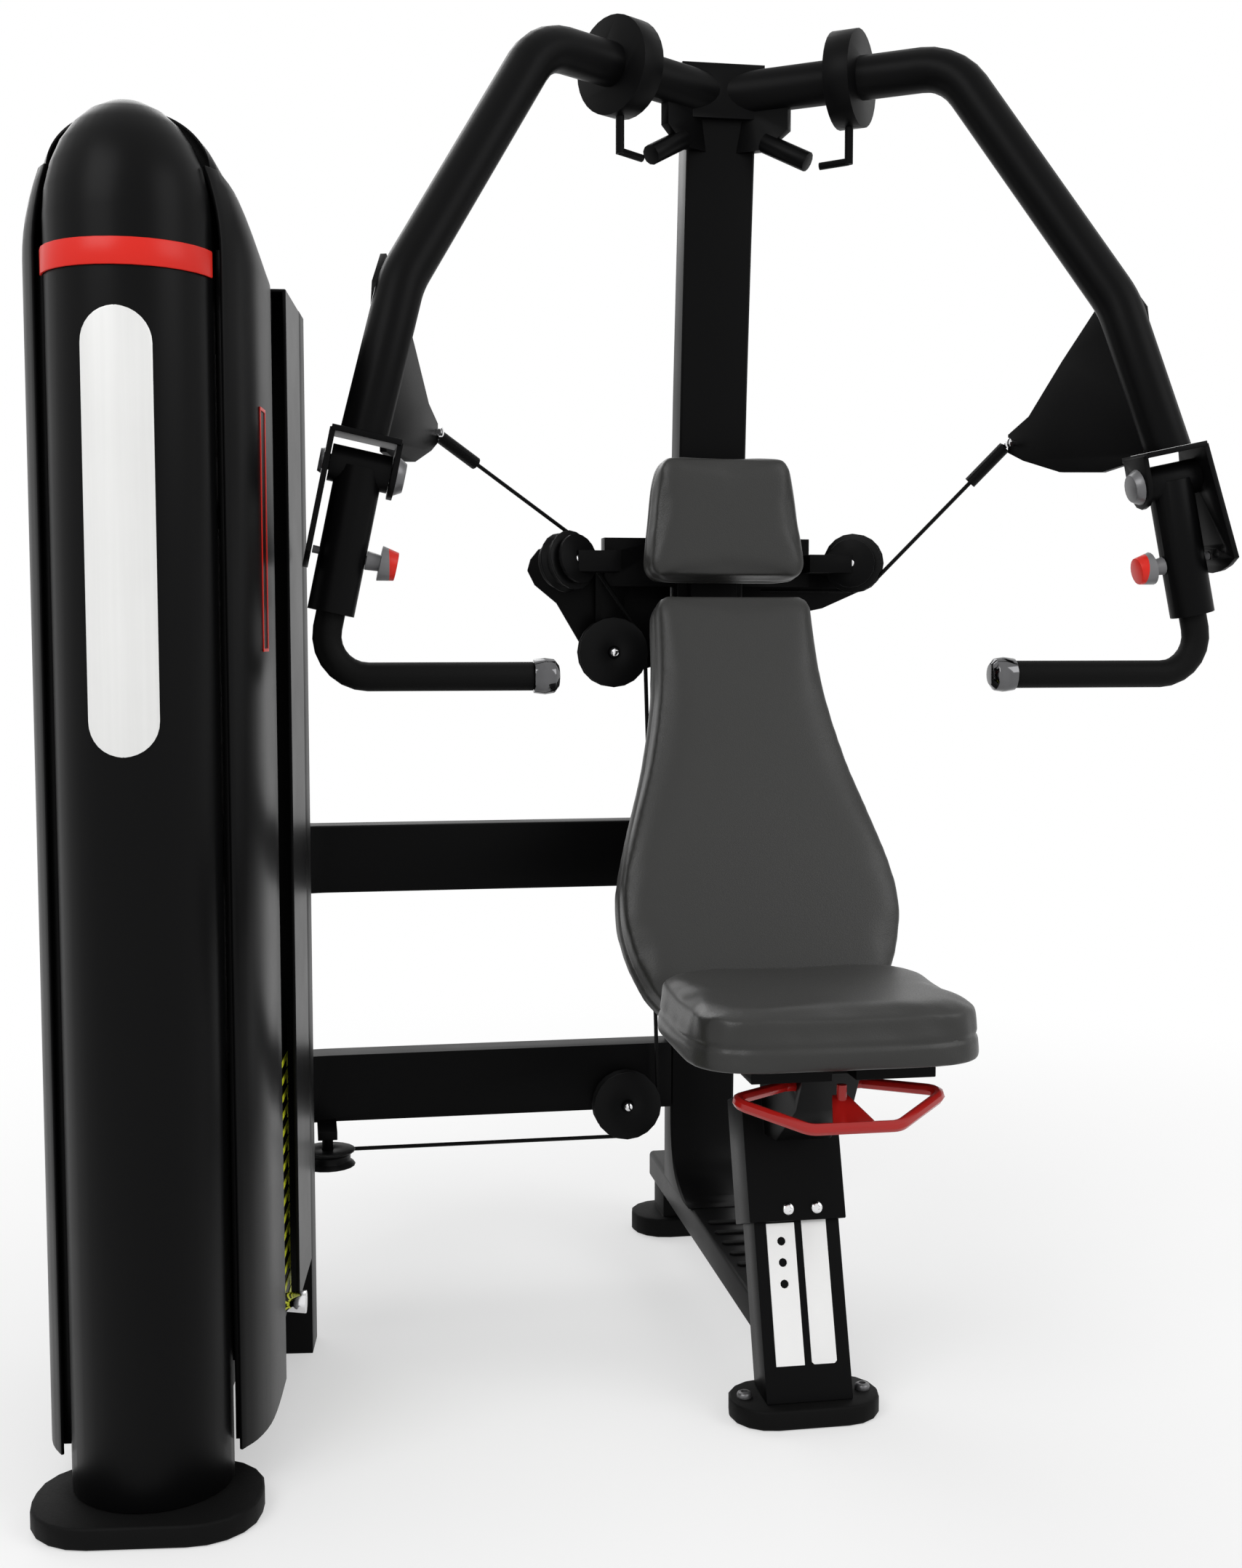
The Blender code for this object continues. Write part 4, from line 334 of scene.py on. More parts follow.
class Maker:
    """Modelling steps done with the operators, one piece at a time."""

    bevel_from = math.radians(35)
    smooth_to = math.radians(38)

    @staticmethod
    def fresh() -> None:
        """Leave edit mode and deselect everything."""
        if bpy.context.object and bpy.context.object.mode != "OBJECT":
            bpy.ops.object.mode_set(mode="OBJECT")
        bpy.ops.object.select_all(action="DESELECT")

    @staticmethod
    def pick(obj: Object) -> None:
        """Make one object the only selected and the active one."""
        Maker.fresh()
        obj.select_set(True)
        bpy.context.view_layer.objects.active = obj

    @staticmethod
    def edit(obj: Object) -> None:
        """Enter edit mode on one object with its whole mesh selected."""
        Maker.pick(obj)
        bpy.ops.object.mode_set(mode="EDIT")
        bpy.ops.mesh.select_mode(type="FACE")
        bpy.ops.mesh.select_all(action="SELECT")

    @staticmethod
    def leave_edit() -> Object:
        """Turn all faces outwards and return to object mode."""
        bpy.ops.mesh.select_all(action="SELECT")
        bpy.ops.mesh.normals_make_consistent(inside=False)
        bpy.ops.object.mode_set(mode="OBJECT")
        return bpy.context.object

    @staticmethod
    def turned(rings: Sequence[Pair], sides: int = 32) -> Object:
        """Model a turned piece about +Z by extruding and resizing a disc ring by ring.

        Args:
            rings: Radius and height of each ring, from the first end to the last.
            sides: Number of sides of a ring.

        Returns:
            The closed piece, with its axis on Z.
        """
        Maker.fresh()
        radius, height = rings[0]
        bpy.ops.mesh.primitive_circle_add(vertices=sides, radius=radius, fill_type="NGON",
                                          location=(0, 0, 0))
        obj = bpy.context.object
        Maker.edit(obj)
        bpy.ops.transform.translate(value=(0.0, 0.0, height))
        for next_radius, next_height in rings[1:]:
            step = {"value": (0.0, 0.0, next_height - height)}
            bpy.ops.mesh.extrude_region_move(TRANSFORM_OT_translate=step)
            share = next_radius / radius
            bpy.ops.transform.resize(value=(share, share, 1.0),
                                     center_override=(0.0, 0.0, next_height))
            radius, height = next_radius, next_height
        return Maker.leave_edit()

    @staticmethod
    def plate(outline: Sequence[Pair], thick: float) -> Object:
        """Model a flat plate on the XY plane by extruding an outline.

        Args:
            outline: Corner points, in order.
            thick: Thickness along +Z.

        Returns:
            The closed plate.
        """
        Maker.fresh()
        bpy.ops.mesh.primitive_circle_add(vertices=len(outline), fill_type="NGON",
                                          location=(0, 0, 0))
        obj = bpy.context.object
        for vertex, (x, y) in zip(obj.data.vertices, outline):
            vertex.co = (x, y, 0.0)
        Maker.edit(obj)
        bpy.ops.mesh.extrude_region_move(TRANSFORM_OT_translate={"value": (0.0, 0.0, thick)})
        return Maker.leave_edit()

    @staticmethod
    def slab(width: float, height: float, columns: int, rows: int,
             shape: Callable[[float, float], Pair]) -> Object:
        """Model an even sheet of quads on the XY plane and shape its outline.

        Args:
            width: Full width before shaping.
            height: Full height before shaping.
            columns: Quads across.
            rows: Quads up.
            shape: Gives a point's shaped place from its even place.

        Returns:
            The open sheet.
        """
        Maker.fresh()
        bpy.ops.mesh.primitive_grid_add(x_subdivisions=columns, y_subdivisions=rows, size=1.0,
                                        location=(0, 0, 0))
        obj = bpy.context.object
        for vertex in obj.data.vertices:
            x, y = shape(vertex.co.x * width, vertex.co.y * height)
            vertex.co = (x, y, 0.0)
        return obj

    @staticmethod
    def modify(obj: Object, kind: str, **settings: object) -> None:
        """Add a modifier, set it and apply it.

        Args:
            obj: The piece.
            kind: The modifier's type.
            settings: Values of its properties.
        """
        Maker.pick(obj)
        modifier = obj.modifiers.new(kind.lower(), kind)
        for key, value in settings.items():
            setattr(modifier, key, value)
        bpy.ops.object.modifier_apply(modifier=modifier.name)

    @staticmethod
    def put(obj: Object, matrix: Matrix) -> Object:
        """Move a piece to its place and bake the place into its mesh."""
        Maker.pick(obj)
        obj.matrix_world = matrix @ obj.matrix_world
        bpy.ops.object.transform_apply(location=True, rotation=True, scale=True)
        return obj

    @staticmethod
    def joined(pieces: Sequence[Object]) -> Object:
        """Join several modelled pieces into one object."""
        Maker.pick(pieces[0])
        for piece in pieces[1:]:
            piece.select_set(True)
        if len(pieces) > 1:
            bpy.ops.object.join()
        return pieces[0]

    @staticmethod
    def copied(obj: Object, matrix: Matrix) -> Object:
        """Copy a piece with its own mesh, moved by a matrix."""
        twin = bpy.data.objects.new(obj.name, obj.data.copy())
        bpy.context.scene.collection.objects.link(twin)
        twin.data.transform(matrix)
        return twin

    @staticmethod
    def finish(obj: Object, name: str, look: Finish, body: str, bevel: float = 0.0) -> Object:
        """Soften, shade, dress and hang a piece on its body.

        Args:
            obj: The modelled piece, in place.
            name: The piece's name.
            look: Its finish.
            body: The body it rides on, or nothing to leave it on no body.
            bevel: Width of the softened edges, or 0 for none.

        Returns:
            The finished piece.
        """
        if bevel:
            Maker.modify(obj, "BEVEL", width=bevel, segments=2, limit_method="ANGLE",
                         angle_limit=Maker.bevel_from)
        Maker.pick(obj)
        bpy.ops.object.shade_smooth_by_angle(angle=Maker.smooth_to)
        obj.name = name
        obj.data.name = name
        obj.data.materials.clear()
        obj.data.materials.append(look.material())
        if body:
            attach(obj, body)
        log.info("%s rides on %s", name, body or "two bodies")
        return obj


def aimed(place: Sequence[float], axis: Sequence[float]) -> Matrix:
    """Give the matrix that puts a piece's Z axis along an axis at a place.

    Args:
        place: Where the piece's own origin goes.
        axis: Where its Z axis points.

    Returns:
        The matrix.
    """
    turn = Vector(axis).to_track_quat("Z", "Y").to_matrix().to_4x4()
    return Matrix.Translation(Vector(place)) @ turn


def framed(origin: Sequence[float], across: Sequence[float], along: Sequence[float]) -> Matrix:
    """Give the matrix of a flat frame from its X and Y directions.

    Args:
        origin: The frame's origin.
        across: Its X direction.
        along: Its Y direction.

    Returns:
        The matrix, with Z facing out of the flat.
    """
    x, y = Vector(across).normalized(), Vector(along).normalized()
    made = Matrix((x, y, x.cross(y))).transposed().to_4x4()
    made.translation = Vector(origin)
    return made


@dataclass
class SolidNodes:
    """The rigid nodes that keep their own shape and get softened edges and a finish."""

    edge_width: float = 0.0014
    crease: float = math.radians(34)
    weld: float = 0.00002
    keep_sharp: tuple[str, ...] = (
        "lifted_plates", "bottom_plate", "left_cable_span", "right_cable_span",
        "left_cable_run", "right_cable_run", "stack_cable", "index_strip")
    slots: dict[str, str] = field(default_factory=lambda: {
        row["node"]: row["material_slot"] for row in frame["record"]["subparts"]})

    def dress(self) -> None:
        """Give each shown node its finish and softened, smoothly shaded edges."""
        for name, node in frame["nodes"].items():
            node.data.materials.clear()
            special = [look for ending, look in FINISH_OF_ENDING.items() if name.endswith(ending)]
            look = special[0] if special else FINISH_OF_SLOT[self.slots[name]]
            node.data.materials.append(look.material())
            self.soften(name, node)
            log.info("%s keeps its solid", name)

    def soften(self, name: str, node: Object) -> None:
        """Add the live edge modifiers of one node.

        Args:
            name: The node's name.
            node: Its object.
        """
        Maker.pick(node)
        if node.data.has_custom_normals:
            bpy.ops.mesh.customdata_custom_splitnormals_clear()
        bpy.ops.object.shade_smooth()
        weld = node.modifiers.new("weld", "WELD")
        weld.merge_threshold = self.weld
        if name not in self.keep_sharp:
            bevel = node.modifiers.new("edge", "BEVEL")
            bevel.width = self.edge_width
            bevel.segments = 2
            bevel.limit_method = "ANGLE"
            bevel.angle_limit = self.crease
        split = node.modifiers.new("crease", "EDGE_SPLIT")
        split.split_angle = self.crease


@dataclass
class Cushion:
    """One foam pad in stretched vinyl, swollen by pressure over its flat back board."""

    node: str
    body: str
    face: Triple
    fill: float
    voxel: float = 0.005
    start_inset: float = 0.004
    cap: float = 0.008
    pressure: float = 4.0
    board_share: float = 0.10
    frames: int = 20
    rounding: int = 14
    settling: int = 14
    seam_share: float = 0.42
    seam_depth: float = 0.0026
    seam_width: float = 0.0034

    def build(self) -> Object:
        """Model the pad and hang it on its body.

        Returns:
            The finished pad.
        """
        obj = self.blank()
        self.swell(obj)
        Maker.modify(obj, "SMOOTH", factor=0.5, iterations=self.settling)
        Maker.modify(obj, "SUBSURF", levels=1, render_levels=1)
        self.sew(obj)
        Maker.finish(obj, self.node + "_cover", CHARCOAL_VINYL, self.body)
        bpy.ops.object.shade_smooth()
        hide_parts(self.node)
        return obj

    def blank(self) -> Object:
        """Copy the pad's solid, remesh it finely and round its edges."""
        mesh = frame["nodes"][self.node].data.copy()
        obj = bpy.data.objects.new(self.node + "_cover", mesh)
        bpy.context.scene.collection.objects.link(obj)
        Maker.edit(obj)
        bpy.ops.mesh.remove_doubles(threshold=0.0001)
        Maker.leave_edit()
        obj.data.remesh_voxel_size = self.voxel
        bpy.ops.object.voxel_remesh()
        Maker.modify(obj, "DISPLACE", strength=-self.start_inset, mid_level=0.0)
        Maker.modify(obj, "SMOOTH", factor=0.5, iterations=self.rounding)
        return obj

    def heights(self, obj: Object) -> np.ndarray:
        """Give each point's share of the pad's thickness, 0 at the board and 1 at the face."""
        points = self.points(obj)
        rise = points @ np.array(Vector(self.face).normalized())
        return (rise - rise.min()) / (rise.max() - rise.min())

    @staticmethod
    def points(obj: Object) -> np.ndarray:
        """Give a mesh's points as an array."""
        flat = np.zeros(len(obj.data.vertices) * 3)
        obj.data.vertices.foreach_get("co", flat)
        return flat.reshape(-1, 3)

    @staticmethod
    def normals(obj: Object) -> np.ndarray:
        """Give a mesh's point normals as an array."""
        flat = np.zeros(len(obj.data.vertices) * 3)
        obj.data.vertex_normals.foreach_get("vector", flat)
        return flat.reshape(-1, 3)

    @staticmethod
    def set_points(obj: Object, points: np.ndarray) -> None:
        """Write a mesh's points."""
        obj.data.vertices.foreach_set("co", points.ravel())
        obj.data.update()

    def swell(self, obj: Object) -> None:
        """Swell the pad with a short pressure simulation, held at its board and capped.

        Args:
            obj: The blank pad, which gets the swollen points.
        """
        start = self.points(obj)
        board = [int(k) for k in np.flatnonzero(self.heights(obj) < self.board_share)]
        held = obj.vertex_groups.new(name="board")
        held.add(board, 1.0, "REPLACE")
        cloth = obj.modifiers.new("cloth", "CLOTH")
        cloth.settings.use_pressure = True
        cloth.settings.uniform_pressure_force = self.pressure
        cloth.settings.vertex_group_mass = held.name
        cloth.settings.quality = 4
        cloth.settings.effector_weights.gravity = 0.0
        cloth.point_cache.frame_end = self.frames
        scene = bpy.context.scene
        for number in range(1, self.frames + 1):
            scene.frame_set(number)
        solved = obj.evaluated_get(bpy.context.evaluated_depsgraph_get())
        flat = np.zeros(len(start) * 3)
        solved.data.vertices.foreach_get("co", flat)
        moved = flat.reshape(-1, 3) - start
        length = np.linalg.norm(moved, axis=1)
        share = np.minimum(1.0, self.cap / np.maximum(length, 1e-9))
        obj.modifiers.remove(cloth)
        obj.vertex_groups.remove(held)
        self.set_points(obj, start + moved * share[:, None])
        scene.frame_set(1)

    def sew(self, obj: Object) -> None:
        """Pull a sewn seam in around the sides of the pad.

        Args:
            obj: The swollen pad.
        """
        points, normals = self.points(obj), self.normals(obj)
        face = np.array(Vector(self.face).normalized())
        rise = points @ face
        seam = rise.min() + self.seam_share * (rise.max() - rise.min())
        sideways = 1.0 - np.abs(normals @ face)
        pull = np.exp(-(((rise - seam) / self.seam_width) ** 2)) * np.clip(sideways, 0.0, 1.0)
        self.set_points(obj, points - normals * (pull * self.seam_depth)[:, None])


@dataclass
class TowerTrim:
    """Plates, strips and labels on the weight tower, in the tower's own turned frame."""

    place: Triple = (-0.78, -0.10, 0.0)
    across: Triple = (0.99452, -0.10453, 0.0)
    depth: Triple = (0.10453, 0.99452, 0.0)
    column_radius: float = 0.089
    plate_width: float = 0.074
    plate_low: float = 0.841
    plate_high: float = 1.303
    strip_size: Pair = (0.036, 0.272)
    strip_centre: Pair = (0.086, 1.085)
    cover_face: float = 0.127
    stack_face: float = 0.118
    stack_low: float = 0.109
    plate_pitch: float = 0.022
    lifted_count: int = 14
    cover_route: tuple[Pair, ...] = (
        (-0.014, 0.0975), (0.012, 0.112), (0.052, 0.122),
        (0.105, 0.125), (0.182, 0.125), (0.270, 0.125))
    cover_top: float = 1.462
    cover_slope: float = math.tan(math.radians(20.0))
    cover_clear: float = 0.0045
    lean: float = 0.016
    lean_from: float = 1.370
    roof_span: Pair = (0.0018, 0.2600)
    roof_crest: Pair = (1.524, 1.377)
    roof_foot: float = 1.345
    # The next four values place the dark sheets of painted shade in the joints between the column and the side
    # covers.
    shade_sheet_span: Pair = (0.066, 1.378)
    roof_skirt: float = 0.35
    roof_grid: tuple[int, int] = (54, 30)
    sheet: float = 0.002
    shade_sheet_gap: float = 0.0012
    shade_sheet_back: float = 0.0035
    shade_sheet_nick: float = 0.004
    stand_off: float = 0.0003
    plate_thick: float = 0.0018
    strip_rim: float = 0.0035
    strip_thick: float = 0.0010
    label_near: float = 0.190
    label_far: float = 0.318
    label_bar: float = 0.0085
    label_tooth: float = 0.0075
    label_margin: float = 0.0016
    label_thick: float = 0.0007

    def matrix(self) -> Matrix:
        """Give the tower's frame."""
        return framed(self.place, self.across, self.depth)

    def build(self) -> None:
        """Make all the tower's trim."""
        self.column_plate()
        self.cover_strip()
        self.stack_labels()
        self.top_shroud()
        # Each side also gets a dark sheet of painted shade in its column-to-cover joint.
        for side, sign in SIDES.items():
            self.shade_sheet(side, sign)

    def cover_inside(self, depth: float, height: float, edge: float) -> float:
        """Give how far out a side cover's inner face stands.

        Args:
            depth: Distance behind the column's middle.
            height: Height above the floor.
            edge: Height of the cover's top there.

        Returns:
            The distance from the tower's middle plane.
        """
        depths, outs = zip(*self.cover_route)
        out = float(np.interp(depth, depths, outs))
        share = min(1.0, max(0.0, (height - self.lean_from) / (edge - self.lean_from)))
        return out - self.lean * share * share - self.cover_clear

    def top_shroud(self) -> None:
        """Curved roof between the side covers, from the column's dome down to the rear hood."""
        first, last = self.roof_span
        skirt = self.roof_skirt
        obj = Maker.slab(2.0 + 2.0 * skirt, 1.0, *self.roof_grid, lambda x, y: (x, y))
        for vertex in obj.data.vertices:
            part, share = vertex.co.x, vertex.co.y + 0.5
            depth = first + share * (last - first)
            edge = self.cover_top - self.cover_slope * depth
            crest = self.roof_crest[0] + share * (self.roof_crest[1] - self.roof_crest[0])
            turn = min(1.0, abs(part)) * math.pi / 2
            below = max(0.0, abs(part) - 1.0) / skirt
            height = edge + (crest - edge) * math.cos(turn) - below * (edge - self.roof_foot)
            out = self.cover_inside(depth, min(height, edge), edge) * math.sin(turn)
            vertex.co = (math.copysign(out, part), depth, height)
        Maker.modify(obj, "SOLIDIFY", thickness=self.sheet, offset=-1.0)
        Maker.put(obj, self.matrix())
        Maker.edit(obj)
        Maker.leave_edit()
        Maker.finish(obj, "tower_top_shroud", COVER_BLACK, FRAME_BODY)

    def shade_sheet(self, side: str, sign: float) -> None:
        """Dark upright sheet that closes the joint between the column and a side cover: painted shade, a sheet put
        where the gap holds only shade.

        Args:
            side: Which cover.
            sign: Its side of the tower.
        """
        near = self.column_radius + self.shade_sheet_gap
        far = self.cover_inside(self.sheet, 0.0, self.cover_top)
        low, high = self.shade_sheet_span
        nick = self.shade_sheet_nick
        outline = [(near, low), (far, low), (far, high - nick), (far - nick, high), (near, high)]
        obj = Maker.plate([(sign * out, height) for out, height in outline], self.sheet)
        Maker.put(obj, self.matrix() @ framed((0.0, self.shade_sheet_back, 0.0), SIDEWAYS, UP))
        Maker.finish(obj, side + "_cover_inner_wall", COVER_BLACK, FRAME_BODY, bevel=0.0004)

    def column_plate(self) -> None:
        """Bare bright plate with round ends, wrapped on the column's front."""
        width, height = self.plate_width, self.plate_high - self.plate_low
        straight = height / 2 - width / 2

        def round_ends(x: float, y: float) -> Pair:
            turn = max(0.0, abs(y) - straight) / width * math.pi
            level = min(abs(y), straight) + width / 2 * math.sin(turn)
            return x * max(0.03, math.cos(turn)), math.copysign(level, y)

        obj = Maker.slab(width, height, 20, 100, round_ends)
        middle = (self.plate_low + self.plate_high) / 2
        for vertex in obj.data.vertices:
            angle = vertex.co.x / self.column_radius
            radius = self.column_radius + self.stand_off
            vertex.co = (radius * math.sin(angle), -radius * math.cos(angle), middle + vertex.co.y)
        Maker.modify(obj, "SOLIDIFY", thickness=self.plate_thick, offset=1.0)
        Maker.put(obj, self.matrix())
        Maker.edit(obj)
        Maker.leave_edit()
        Maker.finish(obj, "column_plate", SILVER_PLATE, FRAME_BODY, bevel=0.0005)

    def cover_strip(self) -> None:
        """Thin red outline round a bare strip on the right side cover."""
        width, height = self.strip_size
        obj = Maker.slab(width, height, 2, 12, lambda x, y: (x, y))
        Maker.edit(obj)
        bpy.ops.mesh.inset(thickness=self.strip_rim, depth=0.0, use_boundary=True)
        bpy.ops.mesh.delete(type="FACE")
        bpy.ops.object.mode_set(mode="OBJECT")
        s, z = self.strip_centre
        flat = framed((self.cover_face + 0.003, s, z), REARWARD, UP)
        Maker.put(obj, self.matrix() @ flat)
        Maker.modify(obj, "SHRINKWRAP", target=frame["nodes"]["right_side_cover"],
                     offset=self.stand_off, wrap_method="NEAREST_SURFACEPOINT",
                     wrap_mode="ABOVE_SURFACE")
        Maker.modify(obj, "SOLIDIFY", thickness=self.strip_thick, offset=1.0)
        Maker.edit(obj)
        Maker.leave_edit()
        Maker.finish(obj, "cover_strip_outline", RED_MOULDED, FRAME_BODY)

    def label(self) -> Object:
        """One comb-shaped weight label, lying on the stack's side face."""
        bar, near, far = self.label_bar, self.label_near, self.label_far
        low, high = self.label_margin, self.plate_pitch - self.label_margin
        root = high - self.label_tooth
        outline = [(near, low), (near + bar, low), (near + bar, root), (far - bar, root),
                   (far - bar, low), (far, low), (far, high), (near, high)]
        obj = Maker.plate(outline, self.label_thick)
        flat = framed((self.stack_face + self.stand_off, 0.0, self.stack_low), REARWARD, UP)
        return Maker.put(obj, self.matrix() @ flat)

    def stack_labels(self) -> None:
        """Labels on the lifted plates and on the bottom plate."""
        first = self.label()
        rows = [Maker.copied(first, Matrix.Translation(UP * self.plate_pitch * k))
                for k in range(1, self.lifted_count + 1)]
        Maker.finish(first, "bottom_plate_label", LABEL_YELLOW, FRAME_BODY)
        Maker.finish(Maker.joined(rows), "lifted_plate_labels", LABEL_YELLOW, "lifted_stack")


@dataclass
class BenchTrim:
    """Bolts, strip and ribs on the seat post, the base beam and the front foot."""

    tilt: float = math.radians(19.0)
    strip_thick: float = 0.002
    strip_offset: float = 0.0215
    strip_length: float = 0.178
    strip_width: float = 0.032
    strip_corner: float = 0.003
    strip_raise: float = 0.0014
    bolt_places: tuple[Triple, ...] = ((-0.0125, 0.0351, 0.2488), (0.0245, 0.0351, 0.2488))
    bolt_rings: tuple[Pair, ...] = (
        (1.0, 0.0), (1.0, 0.35), (0.9, 0.6), (0.66, 0.74), (0.46, 0.76), (0.42, 0.40))
    sleeve_bolt: float = 0.0078
    foot_bolt: float = 0.0095
    foot_bolts: tuple[float, ...] = (-0.076, 0.076)
    rib_first: float = 0.215
    rib_step: float = 0.045
    rib_count: int = 5
    rib_thick: float = 0.003
    rib_outline: tuple[Pair, ...] = (
        (-0.030, -0.006), (0.030, -0.006), (0.034, 0.0),
        (0.030, 0.006), (-0.030, 0.006), (-0.034, 0.0))

    def front(self) -> Vector:
        """Give the direction the post's front face looks in."""
        return Vector((0.0, -math.cos(self.tilt), math.sin(self.tilt)))

    def build(self) -> None:
        """Make all the bench's trim."""
        self.scale_strip()
        self.sleeve_bolts()
        self.foot_bolt_heads()
        self.base_ribs()

    def scale_strip(self) -> None:
        """Bare white strip beside the index strip on the post."""
        low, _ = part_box("index_strip")
        along = Vector((0.0, math.sin(self.tilt), math.cos(self.tilt)))
        origin = Vector((self.strip_offset, low.y + math.cos(self.tilt) * self.strip_thick, low.z))
        half, corner, end = self.strip_width / 2, self.strip_corner, self.strip_length
        outline = [(-half + corner, 0.0), (half - corner, 0.0), (half, corner),
                   (half, end - corner), (half - corner, end), (-half + corner, end),
                   (-half, end - corner), (-half, corner)]
        obj = Maker.plate(outline, self.strip_raise)
        Maker.put(obj, framed(origin, SIDEWAYS, along))
        Maker.finish(obj, "post_scale_strip", WHITE_STRIP, FRAME_BODY, bevel=0.0004)

    def bolt(self, radius: float) -> Object:
        """Model one domed bolt head with a hexagon recess."""
        return Maker.turned([(out * radius, up * radius) for out, up in self.bolt_rings], 24)

    def sleeve_bolts(self) -> None:
        """Two bright bolts on the front of the seat's sleeve."""
        heads = [Maker.put(self.bolt(self.sleeve_bolt), aimed(place, self.front()))
                 for place in self.bolt_places]
        Maker.finish(Maker.joined(heads), "sleeve_bolts", CHROME, "seat")

    def foot_bolt_heads(self) -> None:
        """Bolt heads at the two ends of the front foot."""
        _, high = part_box("front_foot")
        heads = [Maker.put(self.bolt(self.foot_bolt), aimed((x, 0.0, high.z), UP))
                 for x in self.foot_bolts]
        Maker.finish(Maker.joined(heads), "front_foot_bolts", STEEL_GREY, FRAME_BODY)

    def base_ribs(self) -> None:
        """Rubber tread ribs on top of the base beam."""
        _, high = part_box("base_beam")
        first = Maker.plate(self.rib_outline, self.rib_thick)
        Maker.put(first, Matrix.Translation((0.0, self.rib_first, high.z)))
        rows = [first] + [Maker.copied(first, Matrix.Translation((0.0, self.rib_step * k, 0.0)))
                          for k in range(1, self.rib_count)]
        Maker.finish(Maker.joined(rows), "base_tread_ribs", BLACK_RUBBER, FRAME_BODY, bevel=0.0008)


@dataclass
class PulleyTrim:
    """Bright axle bolts of the seen pulleys and the black plates that carry the side pulleys."""

    plate_back: float = 0.5983
    plate_thick: float = 0.005
    left_outline: tuple[Pair, ...] = (
        (-0.2224, 1.1048), (-0.1861, 1.0943), (-0.0839, 1.0536), (-0.0505, 1.0420),
        (-0.0505, 0.9330), (-0.0803, 0.9190), (-0.1330, 0.9056), (-0.1864, 0.9496),
        (-0.2249, 1.0149), (-0.2577, 1.0419), (-0.2686, 1.0634), (-0.2640, 1.0800),
        (-0.2520, 1.0950))
    right_outline: tuple[Pair, ...] = (
        (0.0505, 0.9980), (0.1664, 1.0040), (0.1874, 1.0083), (0.2569, 1.0387), (0.2720, 1.0540),
        (0.2755, 1.0760), (0.2700, 1.0930), (0.2561, 1.1044), (0.2271, 1.0998), (0.1660, 1.0720),
        (0.0505, 1.0600))
    bolt_rings: tuple[Pair, ...] = (
        (0.0062, -0.002), (0.0062, 0.0016), (0.0052, 0.0030), (0.0026, 0.0038))
    axles: dict[str, float] = field(default_factory=lambda: {
        "left_side_pulley": 0.022, "right_side_pulley": 0.022, "column_pulley": 0.0185,
        "beam_pulley": 0.0185, "tower_side_pulley": 0.0185})

    def build(self) -> None:
        """Make a bright bolt head in the middle of each seen pulley's front axle end."""
        for joint in frame["joints"]:
            name = joint["name"].removesuffix("_spin")
            if name in self.axles:
                self.axle_bolt(name, Vector(joint["pos_m"]), Vector(joint["axis"]).normalized())
        self.carrier("left_pulley_plate", self.left_outline)
        self.carrier("right_pulley_plate", self.right_outline)

    def carrier(self, name: str, outline: Sequence[Pair]) -> None:
        """Black plate behind a side pulley, out to the mast.

        Args:
            name: The plate's name.
            outline: Its corners, across and up.
        """
        obj = Maker.plate(outline, self.plate_thick)
        Maker.put(obj, framed((0.0, self.plate_back, 0.0), SIDEWAYS, UP))
        Maker.finish(obj, name, POWDER_BLACK, FRAME_BODY, bevel=0.0012)

    def axle_bolt(self, name: str, place: Vector, axis: Vector) -> None:
        """Bolt head on the end of a pulley's fixed axle.

        Args:
            name: The pulley's name.
            place: The pulley's centre.
            axis: Its axle's direction.
        """
        start = place + axis * self.axles[name]
        obj = Maker.turned(self.bolt_rings, 20)
        Maker.put(obj, aimed(start, axis))
        Maker.finish(obj, name + "_axle_bolt", CHROME, FRAME_BODY)


